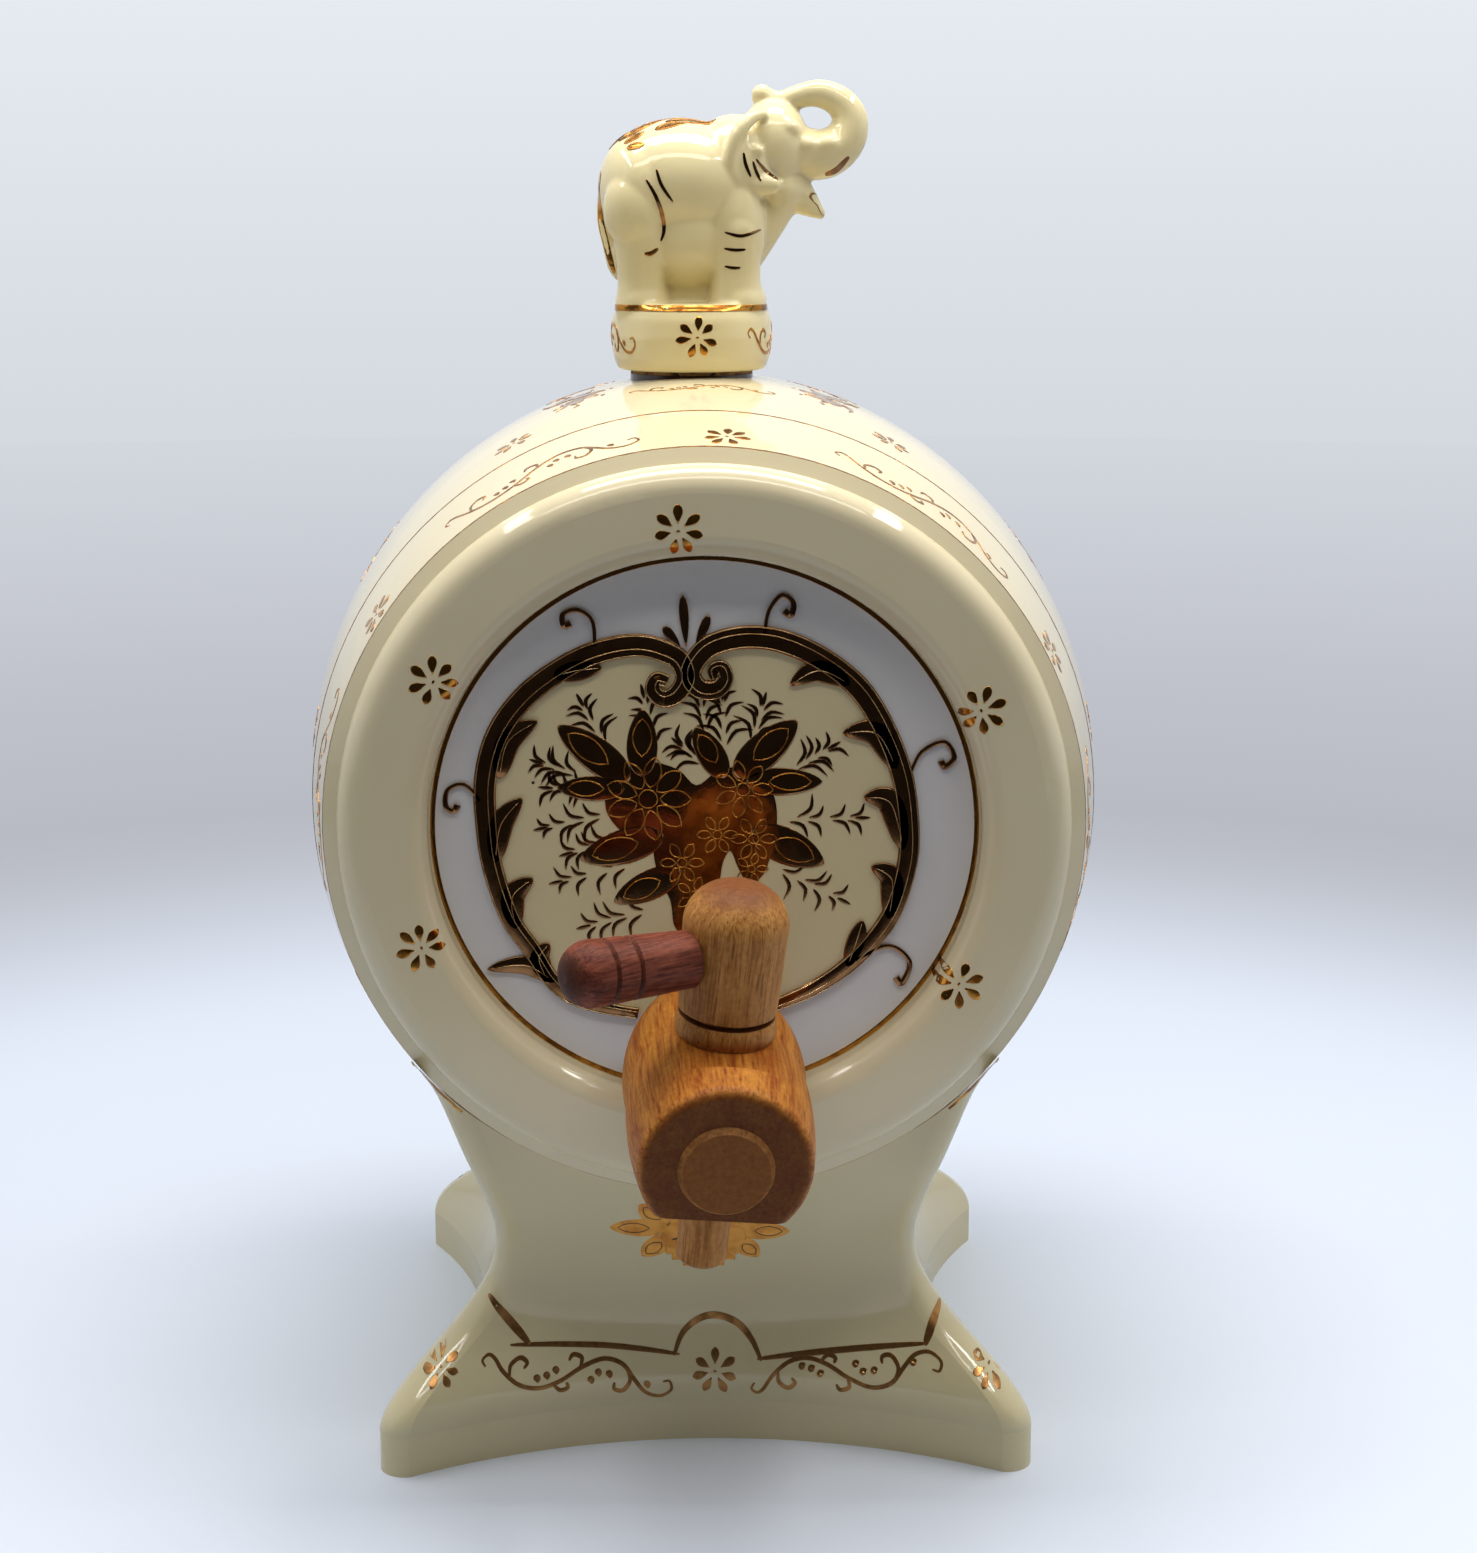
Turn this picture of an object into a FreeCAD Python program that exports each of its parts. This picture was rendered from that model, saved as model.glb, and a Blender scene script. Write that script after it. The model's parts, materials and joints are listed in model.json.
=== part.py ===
import FreeCAD, Part
import math
import os
import re
import Sketcher
from FreeCAD import Placement, Rotation, Vector

# Figural decanter: a porcelain barrel lies in a porcelain cradle stand, with an elephant stopper
# in its bung mouth and a turned wooden tap in its front head.
# The table is z = 0, the barrel lies along Y, and the tap points towards -Y.

# Driving dimensions, in millimetres and degrees
DIMENSIONS = {
    # barrel
    "axis_height": 130.0,  # barrel axis above the table
    "bilge_radius": 78.0,  # widest outside radius, at mid length
    "stave_arc": 270.0,  # radius of the belly along the barrel
    "stave_end": 69.3,  # half length of the bellied wall
    "ring_root": 70.7,  # where the chime ring leaves the belly
    "ring_radius": 66.3,
    "ring_face": 75.0,  # half length of the barrel over its rings
    "ring_roll": 5.0,  # rounding of the ring's outer edge
    "ring_lip_roll": 4.0,  # rounding of the ring's inner edge
    "head_radius": 50.0,
    "head_place": 68.0,  # head face from mid length
    "barrel_wall": 4.5,
    "mouth_radius": 10.5,
    "mouth_aside": -2.0,  # the mouth sits a little left of the barrel's middle
    "mouth_lip_radius": 12.3,
    "mouth_lip_rise": 0.05,
    "mouth_lip_depth": 2.6,
    # stand
    "foot_width": 126.8,
    "foot_depth": 124.0,
    "foot_hollow": 15.5,  # how far each side of the foot curves in
    "foot_height": 8.0,
    "cove_width": 112.0,
    "cove_depth": 112.0,
    "cove_hollow": 11.0,
    "cove_height": 19.0,
    "notch_width": 86.0,
    "notch_depth": 96.0,
    "notch_hollow": 2.5,
    "notch_height": 34.5,
    "waist_width": 83.0,
    "waist_depth": 114.0,
    "waist_hollow": 1.0,
    "waist_height": 51.0,
    "flare_width": 91.5,
    "flare_depth": 131.0,
    "flare_hollow": 1.0,
    "flare_height": 66.0,
    "horn_width": 108.0,
    "horn_depth": 148.0,
    "horn_hollow": 1.0,
    "horn_height": 86.5,
    "stand_corner": 6.0,  # how far the corner rounding reaches along each side
    "stand_corner_radius": 5.0,
    "stand_wall": 5.0,
    "cradle_gap": 0.3,
    "cut_margin": 5.0,  # how far a cut runs past what it cuts
    # stopper base and cork
    "base_radius": 16.0,  # at half height, where the base swells most
    "base_end_radius": 14.9,
    "base_height": 13.1,
    "cork_rim_radius": 12.2,
    "cork_rim_height": 0.7,
    "cork_fit": 0.15,  # radial gap at the top of the mouth
    "cork_end_radius": 9.3,
    "cork_length": 22.0,
    "spigot_radius": 8.0,
    "spigot_height": 8.0,
    # elephant, measured from the stopper's axis and the bottom of its base
    "torso_length": 32.0,
    "torso_girth": 28.6,
    "torso_ahead": -2.8,
    "torso_centre": 34.4,
    "torso_droop": 4.0,
    "chest_length": 24.0,
    "chest_girth": 19.0,
    "chest_ahead": 7.2,
    "chest_centre": 30.0,
    "chest_droop": 78.0,
    "haunch_length": 20.0,
    "haunch_girth": 13.0,
    "haunch_ahead": -10.6,
    "haunch_side": 6.2,
    "haunch_centre": 29.0,
    "haunch_droop": 84.0,
    "web_length": 25.0,
    "web_girth": 12.0,
    "web_ahead": -0.4,
    "web_centre": 17.5,
    "web_droop": 0.0,
    "leg_radius": 6.4,
    "leg_foot_radius": 5.3,
    "leg_height": 15.0,
    "leg_side": 4.4,
    "hind_leg_ahead": -8.7,
    "front_leg_ahead": 8.4,
    "head_length": 21.0,
    "head_girth": 18.0,
    "head_ahead": 15.6,
    "head_centre": 41.6,
    "head_droop": -58.0,
    "jaw_length": 14.0,
    "jaw_girth": 7.8,
    "jaw_ahead": 20.2,
    "jaw_centre": 35.2,
    "jaw_droop": 32.0,
    "ear_length": 4.2,
    "ear_girth": 17.2,
    "ear_ahead": 11.8,
    "ear_side": 8.4,
    "ear_centre": 42.0,
    "ear_droop": 8.0,
    "ear_spread": 68.0,  # turn of the ear's face from straight ahead
    "trunk_loop_length": 14.6,
    "trunk_loop_height": 11.4,
    "trunk_ahead": 24.0,
    "trunk_centre": 48.5,
    "trunk_root_radius": 5.2,
    "trunk_bend_radius": 3.5,
    "trunk_crest_radius": 2.7,
    "trunk_end_radius": 1.9,
    "trunk_end_ahead": 12.4,
    "trunk_end_height": 54.1,
    "form_sink": 1.5,  # how far a limb runs into what it grows from
    "tail_radius": 1.1,
    "tail_length": 18.0,
    "tail_height": 19.2,
    "tail_lean": 9.0,
    "tail_ahead": -16.4,
    # tap: where it enters the head and how it sits there
    "tap_height": 93.5,
    "tap_droop": 8.0,
    "tap_lean": 5.0,
    "tap_swing": 3.0,
    "tap_hole_radius": 10.0,
    "boss_radius": 14.0,
    "boss_depth": 11.0,
    "boss_cover": 2.2,  # head glaze left in front of the boss
    "bush_gap": 0.05,
    "bush_proud": 1.6,
    "shank_reach": 30.0,  # shank inside the head face
    "shank_end_radius": 6.4,
    "shank_radius": 7.9,
    "shank_show": 2.2,
    "shank_fit": 0.08,
    "shoulder_radius": 9.6,
    "belly_place": 61.0,  # from the inner end of the shank
    "belly_radius": 15.6,
    "belly_back_arc": 42.0,
    "belly_front_arc": 110.0,
    "face_place": 87.2,
    "face_radius": 13.0,
    "face_edge": 1.7,
    "face_edge_arc": 2.3,
    "flat_drop": 9.3,  # flat under the body, below its axis
    "waterway_radius": 3.2,
    "end_plug_radius": 8.05,
    "end_plug_depth": 8.0,
    "end_plug_proud": 1.2,
    "end_plug_edge": 0.8,
    # key, measured from the tap's axis along the key's own axis
    "key_place": 63.0,  # from the inner end of the shank
    "seat_height": 13.6,
    "seat_radius": 17.0,
    "key_bore_top": 6.7,
    "key_bore_end": 5.9,
    "sleeve_wall": 1.2,
    "key_fit": 0.05,
    "bead_radius": 8.3,
    "bead_height": 3.8,
    "bead_swell": 4.0,
    "neck_radius": 6.8,
    "neck_height": 1.1,
    "key_head_root": 8.5,
    "key_head_radius": 9.0,
    "key_top": 40.9,
    "key_dome": 7.4,
    "key_dome_height": 6.8,
    "key_crown_radius": 2.2,
    "nose_radius": 4.5,
    "nose_drop": 30.4,
    "nose_edge": 0.8,
    "outlet_radius": 2.6,
    "outlet_over": 1.4,  # bore above the port's edge
    # handle, measured from the key's axis along the handle
    "handle_height": 28.5,
    "handle_turn": -63.0,  # from the tap's forward direction
    "tenon_radius": 3.4,
    "tenon_start": 3.0,
    "tenon_gap": 0.05,
    "handle_start": 8.7,
    "handle_root_radius": 4.9,
    "handle_radius": 5.7,
    "handle_length": 32.4,  # reach of the handle's end from the key's axis
    "handle_round": 5.2,
    "handle_round_length": 5.0,
    "handle_tip_radius": 1.2,
    "groove_one_back": 12.0,  # from the handle's end
    "groove_two_back": 7.5,
    "groove_width": 1.0,
    "groove_depth": 0.5,
}

doc = FreeCAD.newDocument("decanter")
sheet = doc.addObject("Spreadsheet::Sheet", "Sizes")
for row, (alias, number) in enumerate(DIMENSIONS.items(), 1):
    sheet.set(f"A{row}", alias)
    sheet.set(f"B{row}", str(number))
    sheet.setAlias(f"B{row}", alias)
doc.recompute()

X_AXIS = Vector(1, 0, 0)
Y_AXIS = Vector(0, 1, 0)
Z_AXIS = Vector(0, 0, 1)
sub_parts = []


def cells(text):
    """The expression that text means, with each dimension's name read from the sheet."""
    def cell(word):
        return f"Sizes.{word[0]}" if word[0] in DIMENSIONS else word[0]

    return re.sub(r"[a-z]\w+", cell, str(text))


def value(text):
    """The number that an expression has now."""
    return float(sheet.evalExpression(cells(text)))


def bind(thing, **sizes):
    """Ties properties to expressions; a double underscore in a name stands for a dot."""
    for name, text in sizes.items():
        thing.setExpression(name.replace("__", "."), cells(text))


def keep(thing, label):
    """Names a finished sub-part."""
    thing.Label = label
    sub_parts.append(thing)
    return thing


def new_sketch(body, role, name):
    """An empty sketch on one of the body's own origin planes."""
    sketch = body.newObject("Sketcher::SketchObject", name)
    plane = next(p for p in body.Origin.OriginFeatures if p.Role == role)
    sketch.AttachmentSupport = [(plane, "")]
    sketch.MapMode = "FlatFace"
    return sketch


def place_point(sketch, edge, end, x, y):
    """Ties one end of an edge to the expressions x and y."""
    for kind, axis, text in (("DistanceX", -2, x), ("DistanceY", -1, y)):
        if str(text) == "0":
            sketch.addConstraint(Sketcher.Constraint("PointOnObject", edge, end, axis))
            continue
        number = sketch.addConstraint(Sketcher.Constraint(kind, -1, 1, edge, end, value(text)))
        sketch.setExpression(f"Constraints[{number}]", cells(text))


def arc_between(start, finish, radius, turn):
    """The shorter arc from start to finish; turn is 1 for anticlockwise and -1 for clockwise."""
    chord = finish - start
    rise = max(radius**2 - (chord.Length / 2) ** 2, 0) ** 0.5
    centre = (start + finish) * 0.5 + Vector(-chord.y, chord.x, 0).normalize() * rise * turn
    first, last = (start, finish) if turn > 0 else (finish, start)
    angles = [Vector(1, 0, 0).getAngle(p - centre) * (1 if p.y >= centre.y else -1) for p in (first, last)]
    return Part.ArcOfCircle(Part.Circle(centre, Z_AXIS, radius), *angles)


def outline(sketch, corners):
    """A closed outline. A corner is (x, y), or (x, y, radius, turn) where an arc leads on from it."""
    spots = [Vector(value(c[0]), value(c[1]), 0) for c in corners]
    ends = []
    for number, corner in enumerate(corners):
        start, finish = spots[number], spots[(number + 1) % len(corners)]
        if len(corner) == 2:
            sketch.addGeometry(Part.LineSegment(start, finish))
            ends.append((1, 2))
        else:
            sketch.addGeometry(arc_between(start, finish, value(corner[2]), corner[3]))
            ends.append((1, 2) if corner[3] > 0 else (2, 1))
    for number, corner in enumerate(corners):
        follower = (number + 1) % len(corners)
        sketch.addConstraint(
            Sketcher.Constraint("Coincident", number, ends[number][1], follower, ends[follower][0])
        )
    for number, corner in enumerate(corners):
        place_point(sketch, number, ends[number][0], corner[0], corner[1])
        if len(corner) > 2:
            tied = sketch.addConstraint(Sketcher.Constraint("Radius", number, value(corner[2])))
            sketch.setExpression(f"Constraints[{tied}]", cells(corner[2]))
    return sketch


def turn(body, kind, role, axis, name, corners, **shift):
    """Turns an outline about its sketch's own axis: kind is Revolution or Groove."""
    sketch = outline(new_sketch(body, role, f"{name}_profile"), corners)
    bind(sketch, **{f"AttachmentOffset__Base__{key}": text for key, text in shift.items()})
    feature = body.newObject(f"PartDesign::{kind}", name)
    feature.Profile = sketch
    feature.ReferenceAxis = (sketch, [axis])
    feature.Angle = 360
    return feature


def new_body(label):
    """A finished sub-part made as one body."""
    return keep(doc.addObject("PartDesign::Body", label), label)


def disc(body, kind, name, radius, height, length, reverse, **centre):
    """Pads or pockets a circle that lies level at a height."""
    sketch = new_sketch(body, "XY_Plane", f"{name}_circle")
    bind(sketch, AttachmentOffset__Base__z=height)
    bind(sketch, **{f"AttachmentOffset__Base__{key}": text for key, text in centre.items()})
    sketch.addGeometry(Part.Circle(Vector(0, 0, 0), Z_AXIS, value(radius)))
    sketch.addConstraint(Sketcher.Constraint("Coincident", 0, 3, -1, 1))
    tied = sketch.addConstraint(Sketcher.Constraint("Radius", 0, value(radius)))
    sketch.setExpression(f"Constraints[{tied}]", cells(radius))
    feature = body.newObject(f"PartDesign::{kind}", name)
    feature.Profile = sketch
    feature.Reversed = reverse
    bind(feature, Length=length)
    return feature


def rod(body, kind, name, radius, length, place):
    """Adds or cuts a cylinder along the z axis of a placement."""
    feature = body.newObject(f"PartDesign::{kind}Cylinder", name)
    bind(feature, Radius=radius, Height=length)
    feature.Placement = place
    return feature


# The tap's frame: x runs out along the tap, z up along the key, origin at the shank's inner end
tap_entry = Vector(0, -value("head_place"), value("tap_height"))
tap_turn = (
    Rotation(Z_AXIS, value("tap_swing"))
    * Rotation(X_AXIS, value("tap_droop"))
    * Rotation(Y_AXIS, value("tap_lean"))
    * Rotation(Z_AXIS, -90)
)
tap_forward = tap_turn.multVec(X_AXIS)
tap_frame = Placement(tap_entry - tap_forward * value("shank_reach"), tap_turn)
key_frame = tap_frame * Placement(Vector(value("key_place"), 0, 0), Rotation())
handle_turning = Rotation(Z_AXIS, value("handle_turn"))
handle_frame = key_frame * Placement(Vector(0, 0, value("handle_height")), handle_turning)
ALONG_X = Rotation(Y_AXIS, 90)


# Stand: concave-sided sections from the feet to the horns, cut by the barrel and hollow beneath
def stand_section(body, name, level, inset):
    """One level section: four sides that curve in, joined by rounded corners."""
    wide = f"({level}_width / 2 - {inset})"
    deep = f"({level}_depth / 2 - {inset})"
    long_x = f"({wide} - stand_corner)"
    long_y = f"({deep} - stand_corner)"
    curve_x = f"({long_x}^2 + {level}_hollow^2) / (2 * {level}_hollow)"
    curve_y = f"({long_y}^2 + {level}_hollow^2) / (2 * {level}_hollow)"
    sketch = new_sketch(body, "XY_Plane", name)
    return outline(
        sketch,
        [
            (wide, f"-{long_y}", curve_y, -1),
            (wide, long_y, "stand_corner_radius", 1),
            (long_x, deep, curve_x, -1),
            (f"-{long_x}", deep, "stand_corner_radius", 1),
            (f"-{wide}", long_y, curve_y, -1),
            (f"-{wide}", f"-{long_y}", "stand_corner_radius", 1),
            (f"-{long_x}", f"-{deep}", curve_x, -1),
            (long_x, f"-{deep}", "stand_corner_radius", 1),
        ],
    )


def stand_form(name, inset, clearance, below):
    """The stand's outside, or the hollow in it: a foot block, a loft to the horns and the barrel's bed."""
    body = doc.addObject("PartDesign::Body", name)
    block = body.newObject("PartDesign::Pad", f"{name}_foot")
    block.Profile = stand_section(body, f"{name}_foot_plan", "foot", inset)
    bind(block.Profile[0], AttachmentOffset__Base__z=f"-{below}")
    bind(block, Length=f"foot_height + {below}")
    levels = ["foot", "cove", "notch", "waist", "flare", "horn"]
    plans = []
    for level in levels:
        plan = stand_section(body, f"{name}_{level}", level, inset)
        bind(plan, AttachmentOffset__Base__z=f"{level}_height")
        plans.append(plan)
    loft = body.newObject("PartDesign::AdditiveLoft", f"{name}_rise")
    loft.Profile = plans[0]
    loft.Sections = plans[1:]
    half = "(horn_depth / 2 + cut_margin)"
    end_radius = f"bilge_radius - stave_arc + sqrt((stave_arc + {clearance})^2 - {half}^2)"
    turn(
        body,
        "Groove",
        "YZ_Plane",
        "H_Axis",
        f"{name}_bed",
        [
            (f"-{half}", 0),
            (half, 0),
            (half, end_radius, f"stave_arc + {clearance}", 1),
            (f"-{half}", end_radius),
        ],
        y="axis_height",
    )
    return body


outside = stand_form("stand_outside", "0", "cradle_gap", "0")
hollow = stand_form("stand_hollow", "stand_wall", "cradle_gap + stand_wall", "cut_margin")
stand = keep(doc.addObject("Part::Cut", "stand"), "stand")
stand.Base = outside
stand.Tool = hollow


# Barrel: turned outside with chime rings, turned hollow, then the bung mouth and the tap hole
def belly(place):
    """Outside radius of the bellied wall at a distance from mid length."""
    return f"(bilge_radius - stave_arc + sqrt(stave_arc^2 - ({place})^2))"


barrel = new_body("barrel")
bind(barrel, Placement__Base__z="axis_height")
half_profile = [
    ("head_place", 0),
    ("head_place", "head_radius"),
    ("(ring_face - ring_lip_roll)", "head_radius", "ring_lip_roll", 1),
    ("ring_face", "head_radius + ring_lip_roll"),
    ("ring_face", "ring_radius - ring_roll", "ring_roll", 1),
    ("ring_root", "ring_radius"),
    ("stave_end", belly("stave_end")),
]
mirrored = []
for number in range(len(half_profile) - 1, -1, -1):
    mirrored.append((f"-{half_profile[number][0]}", half_profile[number][1], *half_profile[number - 1][2:]))
first_half = half_profile[:-1] + [half_profile[-1] + ("stave_arc", 1)]
turn(barrel, "Revolution", "YZ_Plane", "H_Axis", "barrel_outside", first_half + mirrored)
inner_end = "(head_place - barrel_wall)"
inner_radius = f"bilge_radius - stave_arc + sqrt((stave_arc - barrel_wall)^2 - {inner_end}^2)"
turn(
    barrel,
    "Groove",
    "YZ_Plane",
    "H_Axis",
    "barrel_inside",
    [
        (f"-{inner_end}", 0),
        (inner_end, 0),
        (inner_end, inner_radius, "stave_arc - barrel_wall", 1),
        (f"-{inner_end}", inner_radius),
    ],
)
lip_top = "bilge_radius + mouth_lip_rise"
lip_through = "mouth_lip_rise + barrel_wall + cut_margin"
disc(barrel, "Pad", "mouth_lip", "mouth_lip_radius", lip_top, "mouth_lip_depth", True, x="mouth_aside")
disc(barrel, "Pocket", "mouth", "mouth_radius", lip_top, lip_through, False, x="mouth_aside")
in_barrel = Placement(Vector(0, 0, -value("axis_height")), Rotation()) * tap_frame
boss_start = value("shank_reach - boss_depth")
rod(
    barrel,
    "Additive",
    "tap_boss",
    "boss_radius",
    "boss_depth - boss_cover",
    in_barrel * Placement(Vector(boss_start, 0, 0), ALONG_X),
)
rod(
    barrel,
    "Subtractive",
    "tap_hole",
    "tap_hole_radius",
    "boss_depth + 2 * cut_margin",
    in_barrel * Placement(Vector(boss_start - value("cut_margin"), 0, 0), ALONG_X),
)


# Tap bush: cork ring in the tap hole, bored to the shank's taper
def shank(place):
    """Radius of the shank at a distance from its inner end."""
    share = f"({place}) / (shank_reach + shank_show)"
    return f"(shank_end_radius + (shank_radius - shank_end_radius) * {share})"


bush = new_body("tap_bush")
bush.Placement = tap_frame
bush_start = "(shank_reach - boss_depth)"
bush_end = "(shank_reach + bush_proud)"
turn(
    bush,
    "Revolution",
    "XZ_Plane",
    "H_Axis",
    "bush_ring",
    [
        (bush_start, f"{shank(bush_start)} + shank_fit"),
        (bush_end, f"{shank(bush_end)} + shank_fit"),
        (bush_end, "tap_hole_radius - bush_gap"),
        (bush_start, "tap_hole_radius - bush_gap"),
    ],
)

# Stopper: turned base, elephant built from rounded forms, and a socket for the cork
seat = "axis_height + bilge_radius + mouth_lip_rise + cork_rim_height"
base_swell = "(base_radius - base_end_radius)"
base_arc = f"((base_height / 2)^2 + {base_swell}^2) / (2 * {base_swell})"
base = doc.addObject("PartDesign::Body", "stopper_base")
turn(
    base,
    "Revolution",
    "XZ_Plane",
    "V_Axis",
    "base_drum",
    [
        (0, 0),
        ("base_end_radius", 0, base_arc, 1),
        ("base_end_radius", "base_height"),
        (0, "base_height"),
    ],
)


def egg(name, form, side="0", spread="0"):
    """A rounded form of the elephant: an oval of four tangent arcs, turned about its own length."""
    half = f"({form}_length / 2)"
    stout = f"({form}_girth / 2)"
    end_arc = f"({stout}^2 / {half})"
    side_arc = f"({half} * ({half} + {stout}) / (2 * {stout}))"
    meet_x = f"({side_arc} * ({half} - {end_arc}) / ({side_arc} - {end_arc}))"
    meet_y = f"(({side_arc} - {stout}) * {end_arc} / ({side_arc} - {end_arc}))"
    body = doc.addObject("PartDesign::Body", name)
    turn(
        body,
        "Revolution",
        "XZ_Plane",
        "H_Axis",
        f"{name}_oval",
        [
            (f"-{half}", 0, end_arc, -1),
            (f"-{meet_x}", meet_y, side_arc, -1),
            (meet_x, meet_y, end_arc, -1),
            (half, 0),
        ],
    )
    tilt = Rotation(Z_AXIS, value(spread)) * Rotation(Y_AXIS, value(f"{form}_droop"))
    body.Placement = Placement(Vector(value(f"{form}_ahead"), value(side), value(f"{form}_centre")), tilt)
    return body


def post(name, lower, upper, length, place):
    """A tapered round limb."""
    solid = doc.addObject("Part::Cone", name)
    bind(solid, Radius1=lower, Radius2=upper, Height=length)
    solid.Placement = place
    return solid


def trunk_station(angle):
    """Centre and direction of the trunk at an angle round its loop, from straight ahead."""
    wide, high = value("trunk_loop_length / 2"), value("trunk_loop_height / 2")
    ahead = value("trunk_ahead") + wide * math.cos(math.radians(angle))
    up = value("trunk_centre") + high * math.sin(math.radians(angle))
    along = Vector(-wide * math.sin(math.radians(angle)), 0, high * math.cos(math.radians(angle)))
    return Vector(ahead, 0, up), along


RING_POINTS = 12  # points that shape each ring of the trunk


def ring_wire(centre, along, radius):
    """A smooth ring across the trunk, which starts at the elephant's side."""
    reach = Vector(value(radius), 0, 0)
    spokes = [Rotation(Z_AXIS, 360 / RING_POINTS * number).multVec(reach) for number in range(RING_POINTS)]
    ring = Part.BSplineCurve()
    ring.interpolate(spokes, PeriodicFlag=True)
    edge = ring.toShape()
    edge.Placement = Placement(centre, Rotation(Y_AXIS, Vector(), along, "ZXY"))
    return Part.Wire(edge)


def trunk_solid():
    """The raised trunk, lofted from the head round its loop to the tip over the forehead."""
    root = Vector(value("trunk_ahead - trunk_root_radius / 2"), 0, value("head_centre"))
    tip = Vector(value("trunk_end_ahead"), 0, value("trunk_end_height"))
    rings = [ring_wire(root, X_AXIS, "trunk_root_radius")]
    for angle, radius in (
        (-75, "trunk_root_radius"),
        (-38, "(trunk_root_radius + trunk_bend_radius) / 2"),
        (0, "trunk_bend_radius"),
        (45, "(trunk_bend_radius + trunk_crest_radius) / 2"),
        (90, "trunk_crest_radius"),
        (125, "(trunk_crest_radius + trunk_end_radius) / 2"),
    ):
        centre, along = trunk_station(angle)
        rings.append(ring_wire(centre, along, radius))
    rings.append(ring_wire((centre + tip) * 0.5, -X_AXIS, "trunk_end_radius"))
    rings.append(ring_wire(tip, -X_AXIS, "trunk_end_radius"))
    return Part.makeLoft(rings, True)


trunk = doc.addObject("Part::Feature", "trunk")
trunk.Shape = trunk_solid()
forms = [base, trunk]
for form in ("torso", "chest", "web", "head", "jaw"):
    forms.append(egg(form, form))
for name, side in (("left", -1), ("right", 1)):
    forms.append(egg(f"{name}_ear", "ear", f"{side} * ear_side", f"{side} * ear_spread"))
    forms.append(egg(f"{name}_haunch", "haunch", f"{side} * haunch_side"))
    for pair in ("hind", "front"):
        spot = Vector(value(f"{pair}_leg_ahead"), side * value("leg_side"), value("base_height - form_sink"))
        foot = Placement(spot, Rotation())
        forms.append(post(f"{name}_{pair}_leg", "leg_foot_radius", "leg_radius", "leg_height", foot))
tail_end = Vector(value("tail_ahead"), 0, value("tail_height"))
tail_place = Placement(tail_end, Rotation(Y_AXIS, -value("tail_lean")))
forms.append(post("tail", "tail_radius", "tail_radius", "tail_length", tail_place))
figure = doc.addObject("Part::MultiFuse", "figure")
figure.Shapes = forms
socket = doc.addObject("Part::Cylinder", "cork_socket")
bind(socket, Radius="spigot_radius", Height="spigot_height")
elephant = keep(doc.addObject("Part::Cut", "stopper_elephant"), "stopper_elephant")
elephant.Base = figure
elephant.Tool = socket
bind(elephant, Placement__Base__x="mouth_aside", Placement__Base__z=seat)

# Stopper cork: spigot glued in the base, rim between base and barrel, tapered plug in the mouth
cork = new_body("stopper_cork")
bind(cork, Placement__Base__x="mouth_aside", Placement__Base__z=seat)
turn(
    cork,
    "Revolution",
    "XZ_Plane",
    "V_Axis",
    "cork_plug",
    [
        (0, "-(cork_rim_height + cork_length)"),
        ("cork_end_radius", "-(cork_rim_height + cork_length)"),
        ("mouth_radius - cork_fit", "-cork_rim_height"),
        ("cork_rim_radius", "-cork_rim_height"),
        ("cork_rim_radius", 0),
        ("spigot_radius", 0),
        ("spigot_radius", "spigot_height"),
        (0, "spigot_height"),
    ],
)

# Tap body: turned with its waterway and end plug socket, then flatted, seated and bored for the key
tap = new_body("tap_body")
tap.Placement = tap_frame
shoulder = "(shank_reach + shank_show)"
plug_start = "(face_place - end_plug_depth)"
turn(
    tap,
    "Revolution",
    "XZ_Plane",
    "H_Axis",
    "tap_turning",
    [
        (0, "waterway_radius"),
        (0, "shank_end_radius"),
        (shoulder, "shank_radius"),
        (shoulder, "shoulder_radius", "belly_back_arc", -1),
        ("belly_place", "belly_radius", "belly_front_arc", -1),
        ("(face_place - face_edge)", "face_radius + face_edge", "face_edge_arc", -1),
        ("face_place", "face_radius"),
        ("face_place", "end_plug_radius"),
        (plug_start, "end_plug_radius"),
        (plug_start, 0),
        ("key_place", 0),
        ("key_place", "waterway_radius"),
    ],
)
flat = tap.newObject("PartDesign::Pocket", "under_flat")
flat.Profile = outline(
    new_sketch(tap, "XZ_Plane", "under_flat_profile"),
    [
        (shoulder, "-flat_drop"),
        (shoulder, "-(belly_radius + cut_margin)"),
        ("(face_place + cut_margin)", "-(belly_radius + cut_margin)"),
        ("(face_place + cut_margin)", "-flat_drop"),
    ],
)
flat.Midplane = True
bind(flat, Length="2 * (belly_radius + cut_margin)")
disc(tap, "Pocket", "key_seat", "seat_radius", "seat_height", "belly_radius", True, x="key_place")


def bore(height):
    """Radius of the key bore at a height on the key's axis."""
    share = f"(({height}) + flat_drop) / (seat_height + flat_drop)"
    return f"(key_bore_end + (key_bore_top - key_bore_end) * {share})"


over = "(seat_height + cut_margin)"
under = "(flat_drop + cut_margin)"
turn(
    tap,
    "Groove",
    "XZ_Plane",
    "V_Axis",
    "key_bore",
    [(0, f"-{under}"), (bore(f"-{under}"), f"-{under}"), (bore(over), over), (0, over)],
    x="key_place",
)

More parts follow.
